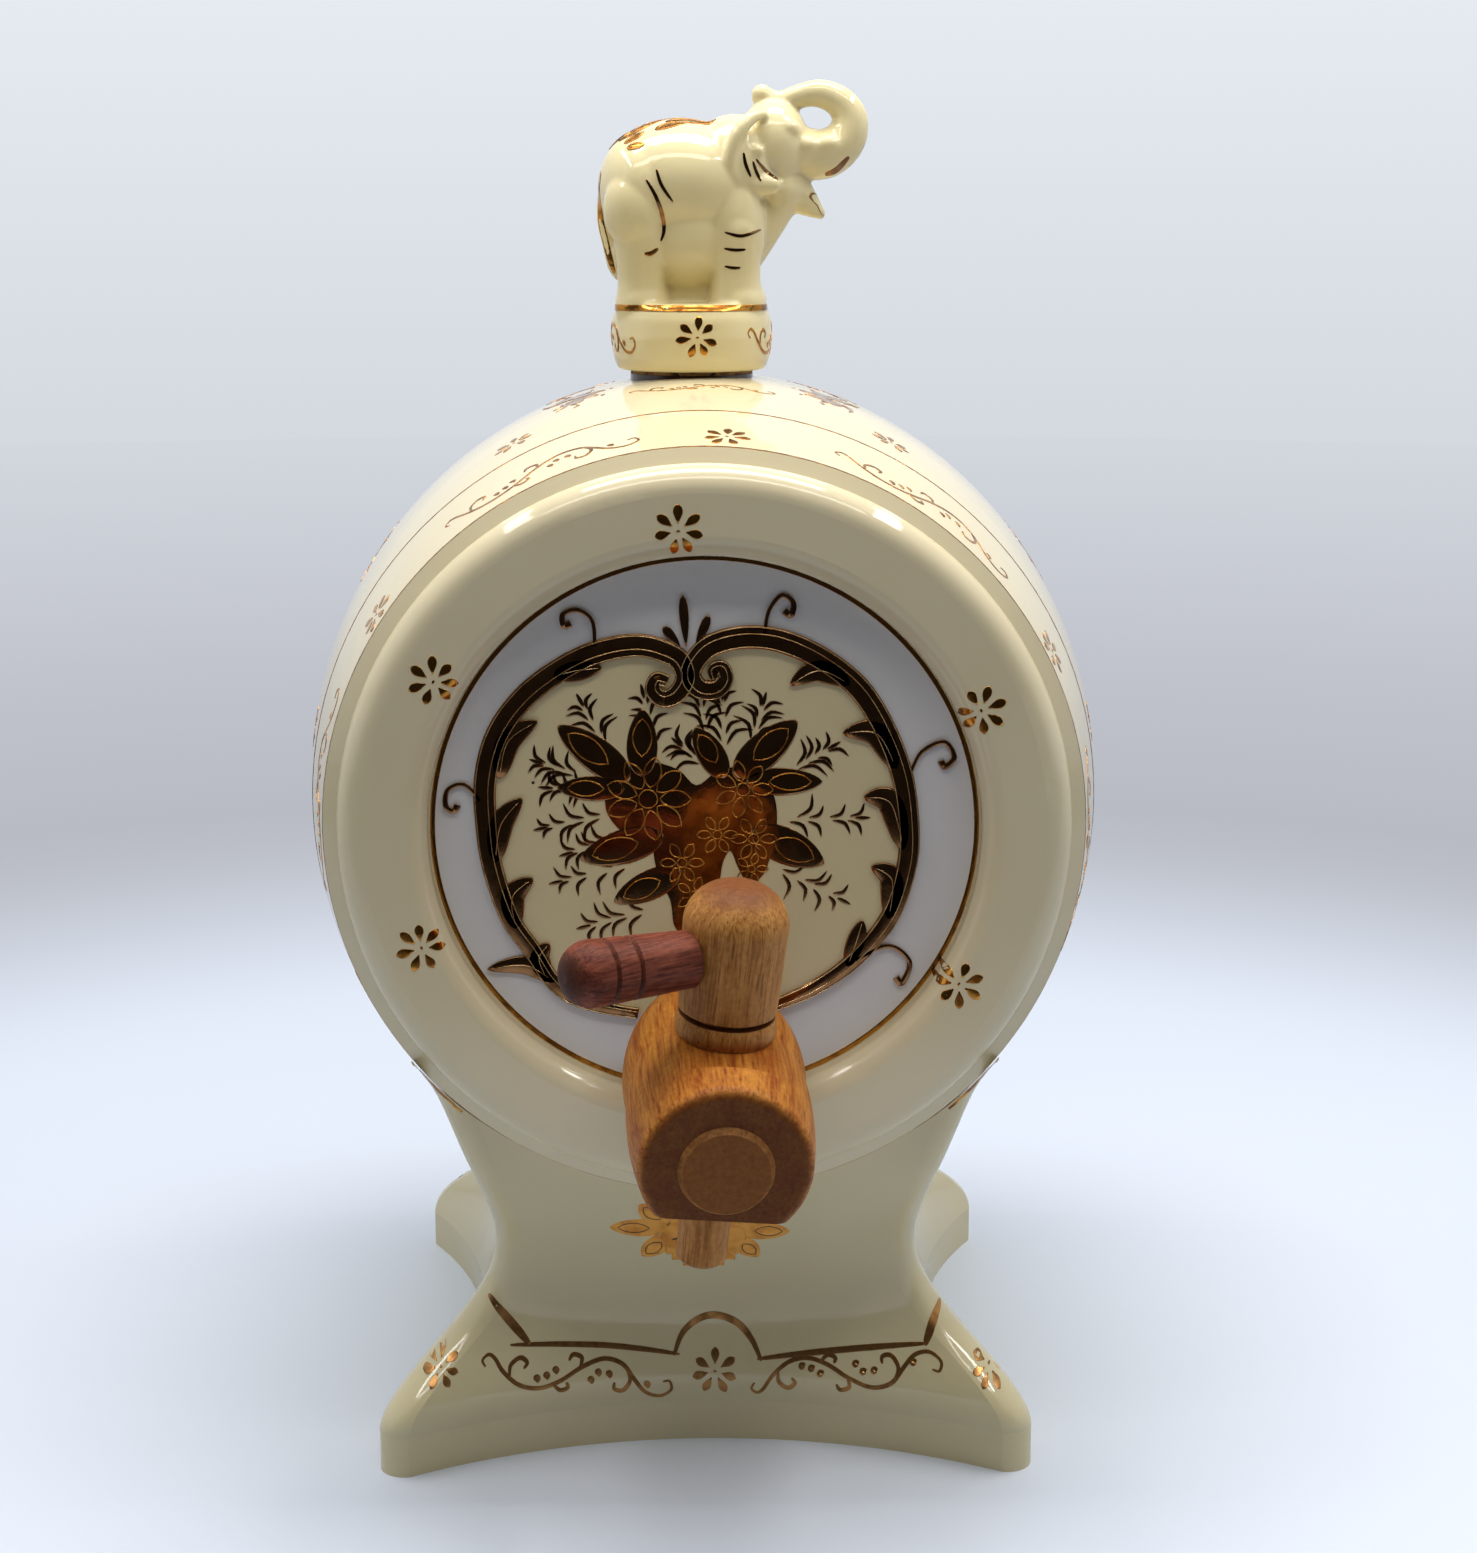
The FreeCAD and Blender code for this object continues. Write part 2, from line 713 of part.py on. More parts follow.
# Tap end plug: dowel that closes the front of the waterway
plug = new_body("tap_end_plug")
plug.Placement = tap_frame
plug_face = "(face_place + end_plug_proud)"
turn(
    plug,
    "Revolution",
    "XZ_Plane",
    "H_Axis",
    "end_plug_turning",
    [
        (plug_start, 0),
        (plug_start, "end_plug_radius"),
        ("face_place", "end_plug_radius"),
        (plug_face, "end_plug_radius - end_plug_edge"),
        (plug_face, 0),
    ],
)

# Key sleeve: cork lining of the key bore, with a port on the waterway
sleeve = new_body("key_sleeve")
sleeve.Placement = key_frame
turn(
    sleeve,
    "Revolution",
    "XZ_Plane",
    "V_Axis",
    "sleeve_turning",
    [
        (f"{bore('-flat_drop')} - sleeve_wall", "-flat_drop"),
        (bore("-flat_drop"), "-flat_drop"),
        (bore("seat_height"), "seat_height"),
        (f"{bore('seat_height')} - sleeve_wall", "seat_height"),
    ],
)
AGAINST_X = Rotation(Y_AXIS, -90)
rod(sleeve, "Subtractive", "sleeve_port", "outlet_radius", "key_bore_top", Placement(Vector(), AGAINST_X))

# Tap key: turned head, bead and tapered plug, with an outlet drilled up its nose and a port across it
key = new_body("tap_key")
key.Placement = key_frame
bead_top = "(seat_height + bead_height)"
head_root = f"({bead_top} + neck_height)"
turn(
    key,
    "Revolution",
    "XZ_Plane",
    "V_Axis",
    "key_turning",
    [
        ("outlet_radius", "-nose_drop"),
        ("nose_radius - nose_edge", "-nose_drop"),
        ("nose_radius", "-(nose_drop - nose_edge)"),
        ("nose_radius", "-flat_drop"),
        (f"{bore('-flat_drop')} - sleeve_wall - key_fit", "-flat_drop"),
        (f"{bore('seat_height')} - sleeve_wall - key_fit", "seat_height"),
        ("bead_radius", "seat_height", "bead_swell", 1),
        ("bead_radius", bead_top),
        ("neck_radius", bead_top),
        ("neck_radius", head_root),
        ("key_head_root", head_root),
        ("key_head_radius", "(key_top - key_dome_height)", "key_dome", 1),
        ("key_crown_radius", "key_top"),
        (0, "key_top"),
        (0, "outlet_radius + outlet_over"),
        ("outlet_radius", "outlet_radius + outlet_over"),
    ],
)
toward_handle = handle_turning * ALONG_X
rod(key, "Subtractive", "key_port", "outlet_radius", "key_bore_top", Placement(Vector(), toward_handle))
rod(
    key,
    "Subtractive",
    "handle_hole",
    "tenon_radius + tenon_gap",
    "key_head_radius",
    Placement(Vector(0, 0, value("handle_height")), toward_handle)
    * Placement(Vector(0, 0, value("tenon_start - tenon_gap")), Rotation()),
)

# Key handle: turned peg with a tenon, two grooves and a rounded end
handle = new_body("key_handle")
handle.Placement = handle_frame


def peg(place):
    """Radius of the handle at a distance from the key's axis, from its root to where its end rounds."""
    share = f"(({place}) - handle_start) / (handle_length - handle_round_length - handle_start)"
    return f"(handle_root_radius + (handle_radius - handle_root_radius) * {share})"


handle_corners = [
    ("tenon_start", 0),
    ("tenon_start", "tenon_radius"),
    ("handle_start", "tenon_radius"),
    ("handle_start", "handle_root_radius"),
]
for groove in ("(handle_length - groove_one_back)", "(handle_length - groove_two_back)"):
    for place, depth in (
        (f"({groove} - groove_width / 2)", "0"),
        (groove, "groove_depth"),
        (f"({groove} + groove_width / 2)", "0"),
    ):
        handle_corners.append((place, f"{peg(place)} - {depth}"))
handle_corners += [
    ("(handle_length - handle_round_length)", "handle_radius", "handle_round", -1),
    ("handle_length", "handle_tip_radius"),
    ("handle_length", 0),
]
turn(handle, "Revolution", "XZ_Plane", "H_Axis", "handle_turning", handle_corners)

doc.recompute()
failed = [thing.Name for thing in doc.Objects if {"Invalid", "Error"} & set(thing.State)]
for thing in sub_parts:
    if thing.Shape.isNull() or not thing.Shape.isValid() or len(thing.Shape.Solids) != 1:
        failed.append(thing.Label)
if failed:
    raise RuntimeError(f"these did not build: {failed}")
os.makedirs("parts", exist_ok=True)
for thing in sub_parts:
    thing.Shape.exportStep(f"parts/{thing.Label}.step")
    box = thing.Shape.BoundBox
    print(f"{thing.Label}: {thing.Shape.Volume / 1000:.1f} cm3, {box}")
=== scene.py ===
import json
import math
import random

import bmesh
import bpy
from mathutils import Matrix, Vector
from mathutils.bvhtree import BVHTree


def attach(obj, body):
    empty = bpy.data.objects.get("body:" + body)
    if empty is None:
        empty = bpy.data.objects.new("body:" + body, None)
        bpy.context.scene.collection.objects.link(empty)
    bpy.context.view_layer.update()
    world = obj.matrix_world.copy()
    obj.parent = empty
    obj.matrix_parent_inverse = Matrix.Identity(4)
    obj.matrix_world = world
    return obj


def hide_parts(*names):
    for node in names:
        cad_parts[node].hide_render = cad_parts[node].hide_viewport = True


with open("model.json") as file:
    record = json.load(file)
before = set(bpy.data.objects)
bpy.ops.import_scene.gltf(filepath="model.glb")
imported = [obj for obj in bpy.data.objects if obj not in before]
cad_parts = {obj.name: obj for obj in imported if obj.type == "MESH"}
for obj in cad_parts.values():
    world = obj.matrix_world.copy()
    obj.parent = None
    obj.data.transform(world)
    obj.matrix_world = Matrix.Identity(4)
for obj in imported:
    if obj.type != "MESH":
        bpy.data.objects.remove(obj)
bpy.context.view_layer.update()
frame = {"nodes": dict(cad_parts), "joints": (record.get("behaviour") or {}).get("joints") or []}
nodes = frame["nodes"]
joints = {joint["name"]: joint for joint in frame["joints"]}
scene = bpy.context.scene
mm = 0.001


def linear(hexColour):  # from the screen's sRGB tone to linear light
    parts = [int(hexColour[place:place + 2], 16) / 255 for place in (1, 3, 5)]
    return [c / 12.92 if c < 0.04045 else ((c + 0.055) / 1.055) ** 2.4 for c in parts] + [1.0]


def feed(tree, node, links):  # each socket takes another node's output or a plain value
    for socket, source in links.items():
        if isinstance(source, bpy.types.NodeSocket):
            tree.links.new(source, node.inputs[socket])
        else:
            node.inputs[socket].default_value = source


def addNode(tree, kind, links=None, **settings):
    node = tree.nodes.new(kind)
    for name, value in settings.items():
        setattr(node, name, value)
    feed(tree, node, links or {})
    return node


def newMaterial(name):
    material = bpy.data.materials.new(name)
    material.use_nodes = True
    tree = material.node_tree
    seat = addNode(tree, "ShaderNodeTexCoord").outputs
    return material, tree, tree.nodes["Principled BSDF"], seat


def perMetre(size):  # texture scale for a pattern of this size in mm
    return 1 / (size * mm)


def noise(tree, spot, size, detail=2.0, wander=0.0):
    links = {"Vector": spot, "Scale": perMetre(size), "Detail": detail, "Distortion": wander}
    return addNode(tree, "ShaderNodeTexNoise", links).outputs["Fac"]


def cells(tree, spot, size):  # distance to the middle of the nearest cell, and a number drawn for that cell
    cell = addNode(tree, "ShaderNodeTexVoronoi", {"Vector": spot, "Scale": perMetre(size)}).outputs
    draw = addNode(tree, "ShaderNodeSeparateColor", {"Color": cell["Color"]}).outputs[0]
    return cell["Distance"], draw


def spread(tree, value, span=(0, 1), onto=(0, 1), smooth=False):  # one span of values onto another
    links = {"Value": value, "From Min": span[0], "From Max": span[1], "To Min": onto[0], "To Max": onto[1]}
    kind = "SMOOTHSTEP" if smooth else "LINEAR"
    return addNode(tree, "ShaderNodeMapRange", links, interpolation_type=kind).outputs[0]


def maths(tree, operation, *inputs):
    return addNode(tree, "ShaderNodeMath", dict(enumerate(inputs)), operation=operation).outputs[0]


def parts(tree, vector):
    return addNode(tree, "ShaderNodeSeparateXYZ", {0: vector}).outputs


def vectors(tree, operation, *inputs, result=0):
    links = dict(enumerate(inputs))
    return addNode(tree, "ShaderNodeVectorMath", links, operation=operation).outputs[result]


def mixTones(tree, factor, first, second, **settings):  # each tone is a hex colour or a node's output
    first, second = [linear(tone) if isinstance(tone, str) else tone for tone in (first, second)]
    links = {0: factor, 6: first, 7: second}  # the colour sockets of a Mix node
    return addNode(tree, "ShaderNodeMix", links, data_type="RGBA", **settings).outputs[2]


def roughen(tree, shader, height, depth, strength=1.0, invert=False):  # bump of this depth in mm
    links = {"Height": height, "Distance": depth * mm, "Strength": strength}
    feed(tree, shader, {"Normal": addNode(tree, "ShaderNodeBump", links, invert=invert).outputs[0]})


# camera: fitted to the barrel's rings, the stand's feet and the tap in the photograph
cameraLook = {"place": (-3.09, -527.21, 236.79), "pitch": 78.05, "turn": -1.14, "lens": 60.27, "sensor": 36}
cameraData = bpy.data.cameras.new("photoCamera")
cameraData.sensor_fit = "VERTICAL"
cameraData.sensor_height = cameraLook["sensor"]
cameraData.lens = cameraLook["lens"]
camera = bpy.data.objects.new("photoCamera", cameraData)
camera.location = Vector(cameraLook["place"]) * mm
camera.rotation_euler = (math.radians(cameraLook["pitch"]), 0, math.radians(cameraLook["turn"]))
scene.collection.objects.link(camera)
scene.camera = camera
print("camera set")


# glazed porcelain: slip cast, dipped in a clear glossy glaze over an ivory ground.
# The eye sees soft tone drifts, a faint ripple in the highlights and a few iron specks.
glazeLook = {
    # painted shade: the stand's pair of tones is a darker copy of the barrel's ivory, for the shade it sits
    # in under the barrel
    "ivory": ("#E6DBBA", "#DBCEA8"), "stand": ("#DED3AC", "#D4C79B"), "figure": ("#F2E6BA", "#E8D9A4"),
    "headGround": "#E2E2E2", "headField": "#E0D3A8", "drift": 38,
    "ripple": 11, "rippleDepth": 0.11, "rippleStrength": 0.8, "roughness": 0.06, "refraction": 1.5,
    "speckSpacing": 15, "speckSize": 0.32, "specklessShare": 0.93, "speckTone": "#4A3823",
}


def glazedPorcelain(name, tones):
    material, tree, shader, seat = newMaterial(name)
    spot = seat["Object"]
    ground = mixTones(tree, noise(tree, spot, glazeLook["drift"], 3.0), *tones)
    distance, draw = cells(tree, spot, glazeLook["speckSpacing"])
    near = maths(tree, "LESS_THAN", distance, glazeLook["speckSize"] / glazeLook["speckSpacing"])
    speck = maths(tree, "MULTIPLY", near, maths(tree, "GREATER_THAN", draw, glazeLook["specklessShare"]))
    ripple = noise(tree, spot, glazeLook["ripple"], 1.0)
    roughen(tree, shader, ripple, glazeLook["rippleDepth"], glazeLook["rippleStrength"])
    feed(tree, shader, {"Roughness": glazeLook["roughness"], "IOR": glazeLook["refraction"]})
    return material, tree, shader, spot, ground, speck


def finishGlaze(tree, shader, colour, speck):
    feed(tree, shader, {"Base Color": mixTones(tree, speck, colour, glazeLook["speckTone"])})


# gold lustre: bright gold brushed on the glaze and fired, so it is a thin mirror with brush streaks
# and worn, browner places
goldLook = {
    "bright": "#C58A3C", "worn": "#7A4A1C", "patch": 3.0, "wear": (0.4, 0.68), "roughness": (0.1, 0.3),
    "metallic": 1.0, "streak": 0.7, "streakDepth": 0.015, "streakStrength": 0.5,
}


def goldLustre(name, **changes):
    look = {**goldLook, **changes}
    material, tree, shader, seat = newMaterial(name)
    wear = spread(tree, noise(tree, seat["Object"], look["patch"], 4.0), look["wear"], smooth=True)
    streak = noise(tree, seat["Object"], look["streak"])
    roughen(tree, shader, streak, look["streakDepth"], look["streakStrength"])
    feed(tree, shader, {
        "Base Color": mixTones(tree, wear, look["bright"], look["worn"]),
        "Roughness": spread(tree, wear, onto=look["roughness"]), "Metallic": look["metallic"],
    })
    return material


gold = goldLustre("goldLustreOnGlaze")
# painted shade: a darker, browner copy of the gold lustre, for gold that mirrors the dim room in front; laid
# on the frame, bouquet, ferns and the elephant's touches
shadedGold = goldLustre("goldLustrePaintedShade", bright="#926A46", worn="#6C4B2E", roughness=(0.08, 0.2))
# painted highlight: a pale, whitish copy of the gold lustre, for the glints along the frame's raised ridges
highlightGold = goldLustre("goldLustrePaintedHighlight", bright="#E2C391", worn="#B08F5C", roughness=(0.12, 0.25))
sprayGold = goldLustre("goldLustreSpray", bright="#F6AE4A", worn="#D88A30", metallic=0.15)
brownGold = goldLustre("goldLustreThin", bright="#A67A4A", worn="#7A5630", roughness=(0.3, 0.45))

# scratched line: the gold taken off with a point before firing, dull brown where the glaze shows through
scratchLook = {"grain": 1.2, "tones": ("#44290F", "#6B4A24"), "roughness": 0.45}
scratch, tree, shader, seat = newMaterial("scratchedGoldLine")
scratchTone = mixTones(tree, noise(tree, seat["Object"], scratchLook["grain"]), *scratchLook["tones"])
feed(tree, shader, {"Base Color": scratchTone, "Roughness": scratchLook["roughness"]})

# turned hardwood, oiled: fibres and short pores run along the grain, end grain drinks more oil and goes dark
handleRoot, handleEnd = Vector((1.0, -104.5, 117.8)), Vector((-24.5, -123.0, 116.5))  # in mm
tapAxis = Vector(joints["tap_pull"]["axis"]).normalized()
keyAxis = Vector(joints["key_turn"]["axis"]).normalized()
woodLooks = {
    "tapWood": {
        "grain": tapAxis, "tones": ("#D68E38", "#A4551C"), "pores": "#642E10", "endTone": "#6C3A18",
        "rings": 3.2, "fibre": 0.5, "roughness": 0.5,
    },
    "keyWood": {
        "grain": keyAxis, "tones": ("#DEA058", "#B27436"), "pores": "#5C3414", "endTone": "#824A2E",
        "rings": 2.6, "fibre": 0.34, "roughness": 0.5,
    },
    "plugWood": {
        "grain": tapAxis, "tones": ("#B87C42", "#94602F"), "pores": "#583618", "endTone": "#945824",
        "rings": 1.6, "fibre": 0.4, "roughness": 0.55,
    },
    "handleWood": {
        "grain": (handleEnd - handleRoot).normalized(), "tones": ("#9C5640", "#642F22"), "pores": "#34170F",
        "endTone": "#40200F", "rings": 2.2, "fibre": 0.4, "roughness": 0.5,
    },
}
woodLook = {  # what the four woods share
    "stretch": 0.06, "wander": 0.6, "toneSpan": (0.8, 1.2), "poreSpan": (0.6, 0.7), "poreShare": 0.45,
    "endSpan": (0.5, 0.97), "endShare": 0.85, "grit": 0.9, "gritTones": ("#B4B4B4", "#FFFFFF"),
    "fibreDepth": 0.08, "fibreStrength": 0.5, "sheen": 0.15,
}


def turnedWood(name, look):
    material, tree, shader, seat = newMaterial(name)
    upright = look["grain"].rotation_difference(Vector((0, 0, 1))).to_euler()
    grain = addNode(tree, "ShaderNodeMapping", {"Vector": seat["Object"], "Rotation": upright}).outputs[0]
    stretch = (1, 1, woodLook["stretch"])
    along = addNode(tree, "ShaderNodeMapping", {"Vector": grain, "Scale": stretch}).outputs[0]
    rings = noise(tree, along, look["rings"], 3.0, woodLook["wander"])
    fibre = noise(tree, along, look["fibre"], 4.0)
    tone = spread(tree, maths(tree, "ADD", rings, fibre), woodLook["toneSpan"])
    colour = mixTones(tree, tone, *look["tones"])
    pore = spread(tree, fibre, woodLook["poreSpan"], (0, woodLook["poreShare"]))
    colour = mixTones(tree, pore, colour, look["pores"])
    facing = vectors(tree, "DOT_PRODUCT", seat["Normal"], look["grain"], result="Value")
    across = maths(tree, "ABSOLUTE", facing)
    end = spread(tree, across, woodLook["endSpan"], (0, woodLook["endShare"]), smooth=True)
    colour = mixTones(tree, end, colour, look["endTone"])
    grit = mixTones(tree, noise(tree, grain, woodLook["grit"], 3.0), *woodLook["gritTones"])
    colour = mixTones(tree, 1.0, colour, grit, blend_type="MULTIPLY")
    roughen(tree, shader, fibre, woodLook["fibreDepth"], woodLook["fibreStrength"], invert=True)
    feed(tree, shader, {
        "Base Color": colour, "Roughness": look["roughness"], "Specular IOR Level": woodLook["sheen"],
    })
    return material


woods = {name: turnedWood(name, look) for name, look in woodLooks.items()}

# cork: pressed bark, warm brown cells with dark lenticels, dry and matt
corkLook = {
    "grain": 1.4, "tones": ("#B08A5E", "#7C5532"), "pit": 2.2, "pitSpan": (0.58, 0.66), "pitDepth": 0.2,
    "fleck": "#3A2415", "roughness": 0.85,
}
cork, tree, shader, seat = newMaterial("naturalCork")
corkTone = mixTones(tree, cells(tree, seat["Object"], corkLook["grain"])[1], *corkLook["tones"])
pit = noise(tree, seat["Object"], corkLook["pit"], 4.0)
roughen(tree, shader, pit, corkLook["pitDepth"], invert=True)
feed(tree, shader, {
    "Base Color": mixTones(tree, spread(tree, pit, corkLook["pitSpan"]), corkTone, corkLook["fleck"]),
    "Roughness": corkLook["roughness"],
})
print("woods, gold and cork mixed")


# painting: flat strokes drawn in mm with their thickness as height, laid on the glaze by Geometry Nodes
flatEdge = [(-1, -0.5), (-0.94, 0.92), (-0.84, 1), (0.84, 1), (0.94, 0.92), (1, -0.5)]  # across a stroke
domedEdge = [(-1, -0.6), (-0.7, 0.7), (0, 1), (0.7, 0.7), (1, -0.6)]  # across a raised ridge


def smoothLine(points, steps):  # a line that bends evenly through the given points
    spots = [Vector(point) for point in points]
    last = len(spots) - 1
    line = []
    for i in range(last):
        before, start, stop, after = [spots[min(max(k, 0), last)] for k in range(i - 1, i + 3)]
        for step in range(steps):
            t = step / steps
            pull = (stop - before) * t + (2 * before - 5 * start + 4 * stop - after) * t * t
            line.append(start + (pull + (3 * start - before - 3 * stop + after) * t ** 3) / 2)
    return line + [spots[-1]]


def even(half):
    return lambda t: half


def brushed(half, least=0.3, fullness=0.6):  # a loaded brush: thin at both ends
    return lambda t: half * (least + (1 - least) * math.sin(math.pi * t) ** fullness)


def leafy(half, lean=0.85, fullness=0.8, least=0.06):  # a leaf: widest a little before the middle
    return lambda t: half * max(math.sin(math.pi * t ** lean) ** fullness, least)


def dropped(half):  # a pressed brush tip: narrow heel, round end
    return leafy(half, lean=1.5, fullness=0.65, least=0.12)


def bridge(bm, rows, closed):  # skin over rows of points, capped at the ends of an open stroke
    for one, other in list(zip(rows, rows[1:])) + ([(rows[-1], rows[0])] if closed else []):
        for k in range(len(one)):
            n = (k + 1) % len(one)
            bm.faces.new((one[k], one[n], other[n], other[k]))
    if not closed:
        bm.faces.new(rows[0][::-1])
        bm.faces.new(rows[-1])


def stroke(bm, line, half, lift, closed=False, edge=flatEdge):
    rows = []
    last = len(line) - 1
    for i, spot in enumerate(line):
        ahead = line[(i + 1) % len(line)] if closed else line[min(i + 1, last)]
        along = ahead - (line[i - 1] if closed else line[max(i - 1, 0)])
        across = Vector((-along.y, along.x)).normalized() * half(i / last)
        rows.append([bm.verts.new((*(spot + across * side), lift * rise)) for side, rise in edge])
    bridge(bm, rows, closed)


def ringLine(bm, radius, half, lift, around=240):  # a level line that closes once it is wrapped round
    rows = []
    for i in range(around):
        x = 2 * math.pi * radius * i / around
        rows.append([bm.verts.new((x, side * half, lift * rise)) for side, rise in flatEdge])
    bridge(bm, rows, True)


def dab(bm, heel, tip, half, lift, bend=0.0):  # one short touch of the brush
    heel, tip = Vector(heel), Vector(tip)
    side = Vector((heel.y - tip.y, tip.x - heel.x)) * bend
    stroke(bm, smoothLine([heel, (heel + tip) / 2 + side, tip], 4), leafy(half), lift)


def flower(bm, size, lift, seed, centre=(0, 0), petals=7, wobble=7, steps=7):  # petals round a pin dot
    hand = random.Random(seed)
    heelShare, tipShares, petalHalf, dotReach, dotHalf = 0.3, (0.9, 1.06), 0.19, 0.05, 0.08
    centre = Vector(centre)
    for k in range(petals):
        angle = math.radians(90 + 360 / petals * k + hand.uniform(-wobble, wobble))
        out = Vector((math.cos(angle), math.sin(angle)))
        heel, tip = centre + out * size * heelShare, centre + out * size * hand.uniform(*tipShares)
        stroke(bm, [heel.lerp(tip, i / steps) for i in range(steps + 1)], dropped(size * petalHalf), lift)
    dot = [centre + Vector((0, size * dotReach * share)) for share in (-1, -0.5, 0, 0.5, 1)]
    stroke(bm, dot, brushed(size * dotHalf), lift)


scrollLook = {  # 38 mm long
    "lines": (
        ((-18.2, 0.2), (-19, 1.3), (-18, 2.3), (-16.6, 1.6), (-14.6, -0.6), (-11, -2.9), (-7, -3.3),
         (-3.2, -1.7), (0.4, 1.0), (4.5, 3.0), (8.4, 2.4), (11.2, -0.2), (13.8, -2.5), (16.8, -3.0),
         (18.8, -1.4), (18.2, 0.3), (16.9, 0.0)),
        ((-13.2, -1.6), (-13.4, 0.6), (-11.8, 2.0), (-10.3, 1.2), (-10.8, 0.1)),
        ((-4.6, -2.4), (-3.0, -3.5), (-1.6, -2.9), (-2.0, -1.9)),
        ((9.2, 1.8), (10.4, -0.4), (9.4, -2.6), (7.6, -2.5), (7.4, -1.2)),
        ((0.2, 0.9), (0.2, 2.8), (-1.6, 3.2), (-2.2, 2.0)),
    ),
    "commas": ((-8.6, -1.2), (-6.8, -0.6), (-5.2, 0.5), (3.2, 0.7), (5.4, 0.6), (2.0, -0.8), (13.2, -0.6)),
}


def scroll(bm, lift, flip=1, half=0.36):  # running scroll with curls and comma dabs
    stepX, stepY, commaFull, commaBend = 1.0, -1.1, 1.5, 0.25
    for points in scrollLook["lines"]:
        stroke(bm, smoothLine([(x, y * flip) for x, y in points], 5), brushed(half), lift)
    for x, y in scrollLook["commas"]:
        dab(bm, (x, y * flip), (x + stepX, (y + stepY) * flip), half * commaFull, lift, commaBend)


def drawn(draw, *given, **settings):  # a fresh sheet with one motif on it
    sheet = bmesh.new()
    draw(sheet, *given, **settings)
    return sheet


def wrapTree(mode):  # lays copies of a motif on a surface: flat, round an axis, or on a ring's face
    tree = bpy.data.node_groups.new("paint_" + mode, "GeometryNodeTree")
    for name, kind in (
        ("Geometry", "Geometry"), ("Motif", "Object"), ("Surface", "Object"), ("Paint", "Material"),
        ("Radius", "Float"), ("Reach", "Float"), ("Depth", "Float"), ("Tilt", "Vector"), ("Centre", "Vector"),
    ):
        tree.interface.new_socket(name, in_out="INPUT", socket_type="NodeSocket" + kind)
    tree.interface.new_socket("Geometry", in_out="OUTPUT", socket_type="NodeSocketGeometry")

    def make(kind, links=None, **settings):  # a node's first output
        return addNode(tree, kind, links, **settings).outputs[0]

    def spotParts():
        return parts(tree, make("GeometryNodeInputPosition"))

    def stored(name):
        return make("GeometryNodeInputNamedAttribute", {"Name": name}, data_type="FLOAT")

    given = addNode(tree, "NodeGroupInput").outputs
    points = given["Geometry"]
    for name, value in zip(("turn", "along", "spin"), spotParts()):  # what each place's three numbers say
        links = {"Geometry": points, "Name": name, "Value": value}
        points = make("GeometryNodeStoreNamedAttribute", links, data_type="FLOAT", domain="POINT")
    points = make("GeometryNodeSetPosition", {"Geometry": points, "Position": make("ShaderNodeCombineXYZ")})
    motif = addNode(tree, "GeometryNodeObjectInfo", {"Object": given["Motif"]}).outputs["Geometry"]
    spun = make("ShaderNodeCombineXYZ", {"Z": stored("spin")})
    copies = make("GeometryNodeInstanceOnPoints", {"Points": points, "Instance": motif, "Rotation": spun})
    flat = make("GeometryNodeRealizeInstances", {0: copies})
    x, y, height = spotParts()
    up = maths(tree, "ADD", y, stored("along"))
    ringAngle = maths(tree, "ADD", stored("turn"), maths(tree, "DIVIDE", x, given["Radius"]))
    outer = maths(tree, "ADD", up, given["Radius"])
    back = maths(tree, "MULTIPLY", given["Reach"], -1.0)
    starts = {
        "flat": ({0: x, 1: up, 2: given["Reach"]}, stored("turn"), (0, 0, -1)),
        "round": ({1: up, 2: given["Reach"]}, ringAngle, (0, 0, -1)),
        "face": ({1: back, 2: outer}, ringAngle, (0, 1, 0)),
    }
    links, angle, toward = starts[mode]
    start = make("ShaderNodeCombineXYZ", links)
    for step, rotation in (("Y_AXIS", {"Angle": angle}), ("EULER_XYZ", {"Rotation": given["Tilt"]})):
        start = make("ShaderNodeVectorRotate", {"Vector": start, **rotation}, rotation_type=step)
        toward = make("ShaderNodeVectorRotate", {"Vector": toward, **rotation}, rotation_type=step)
    start = vectors(tree, "ADD", start, given["Centre"])
    ground = addNode(tree, "GeometryNodeObjectInfo", {"Object": given["Surface"]}).outputs["Geometry"]
    ray = addNode(tree, "GeometryNodeRaycast", {
        "Target Geometry": ground, "Source Position": start, "Ray Direction": toward,
        "Ray Length": given["Depth"],
    }).outputs
    missed = make("FunctionNodeBooleanMath", {0: ray["Is Hit"]}, operation="NOT")
    lift = make("ShaderNodeVectorMath", {0: ray["Hit Normal"], "Scale": height}, operation="SCALE")
    spot = vectors(tree, "ADD", ray["Hit Position"], lift)
    laid = make("GeometryNodeDeleteGeometry", {"Geometry": flat, "Selection": missed})
    laid = make("GeometryNodeSetPosition", {"Geometry": laid, "Position": spot})
    laid = make("GeometryNodeSetShadeSmooth", {"Geometry": laid})
    laid = make("GeometryNodeRealizeInstances", {0: laid})
    laid = make("GeometryNodeSetMaterial", {"Geometry": laid, "Material": given["Paint"]})
    addNode(tree, "NodeGroupOutput", {0: laid})
    return tree


wrapTrees = {mode: wrapTree(mode) for mode in ("flat", "round", "face")}
quarterTurn = (math.pi / 2, 0, 0)  # stands a motif upright, facing the front
once = [(0, 0, 0)]  # a place is a turn in degrees, a shift along in mm and a spin in degrees
bothSides = [(0, 0, 0), (180, 0, 0)]


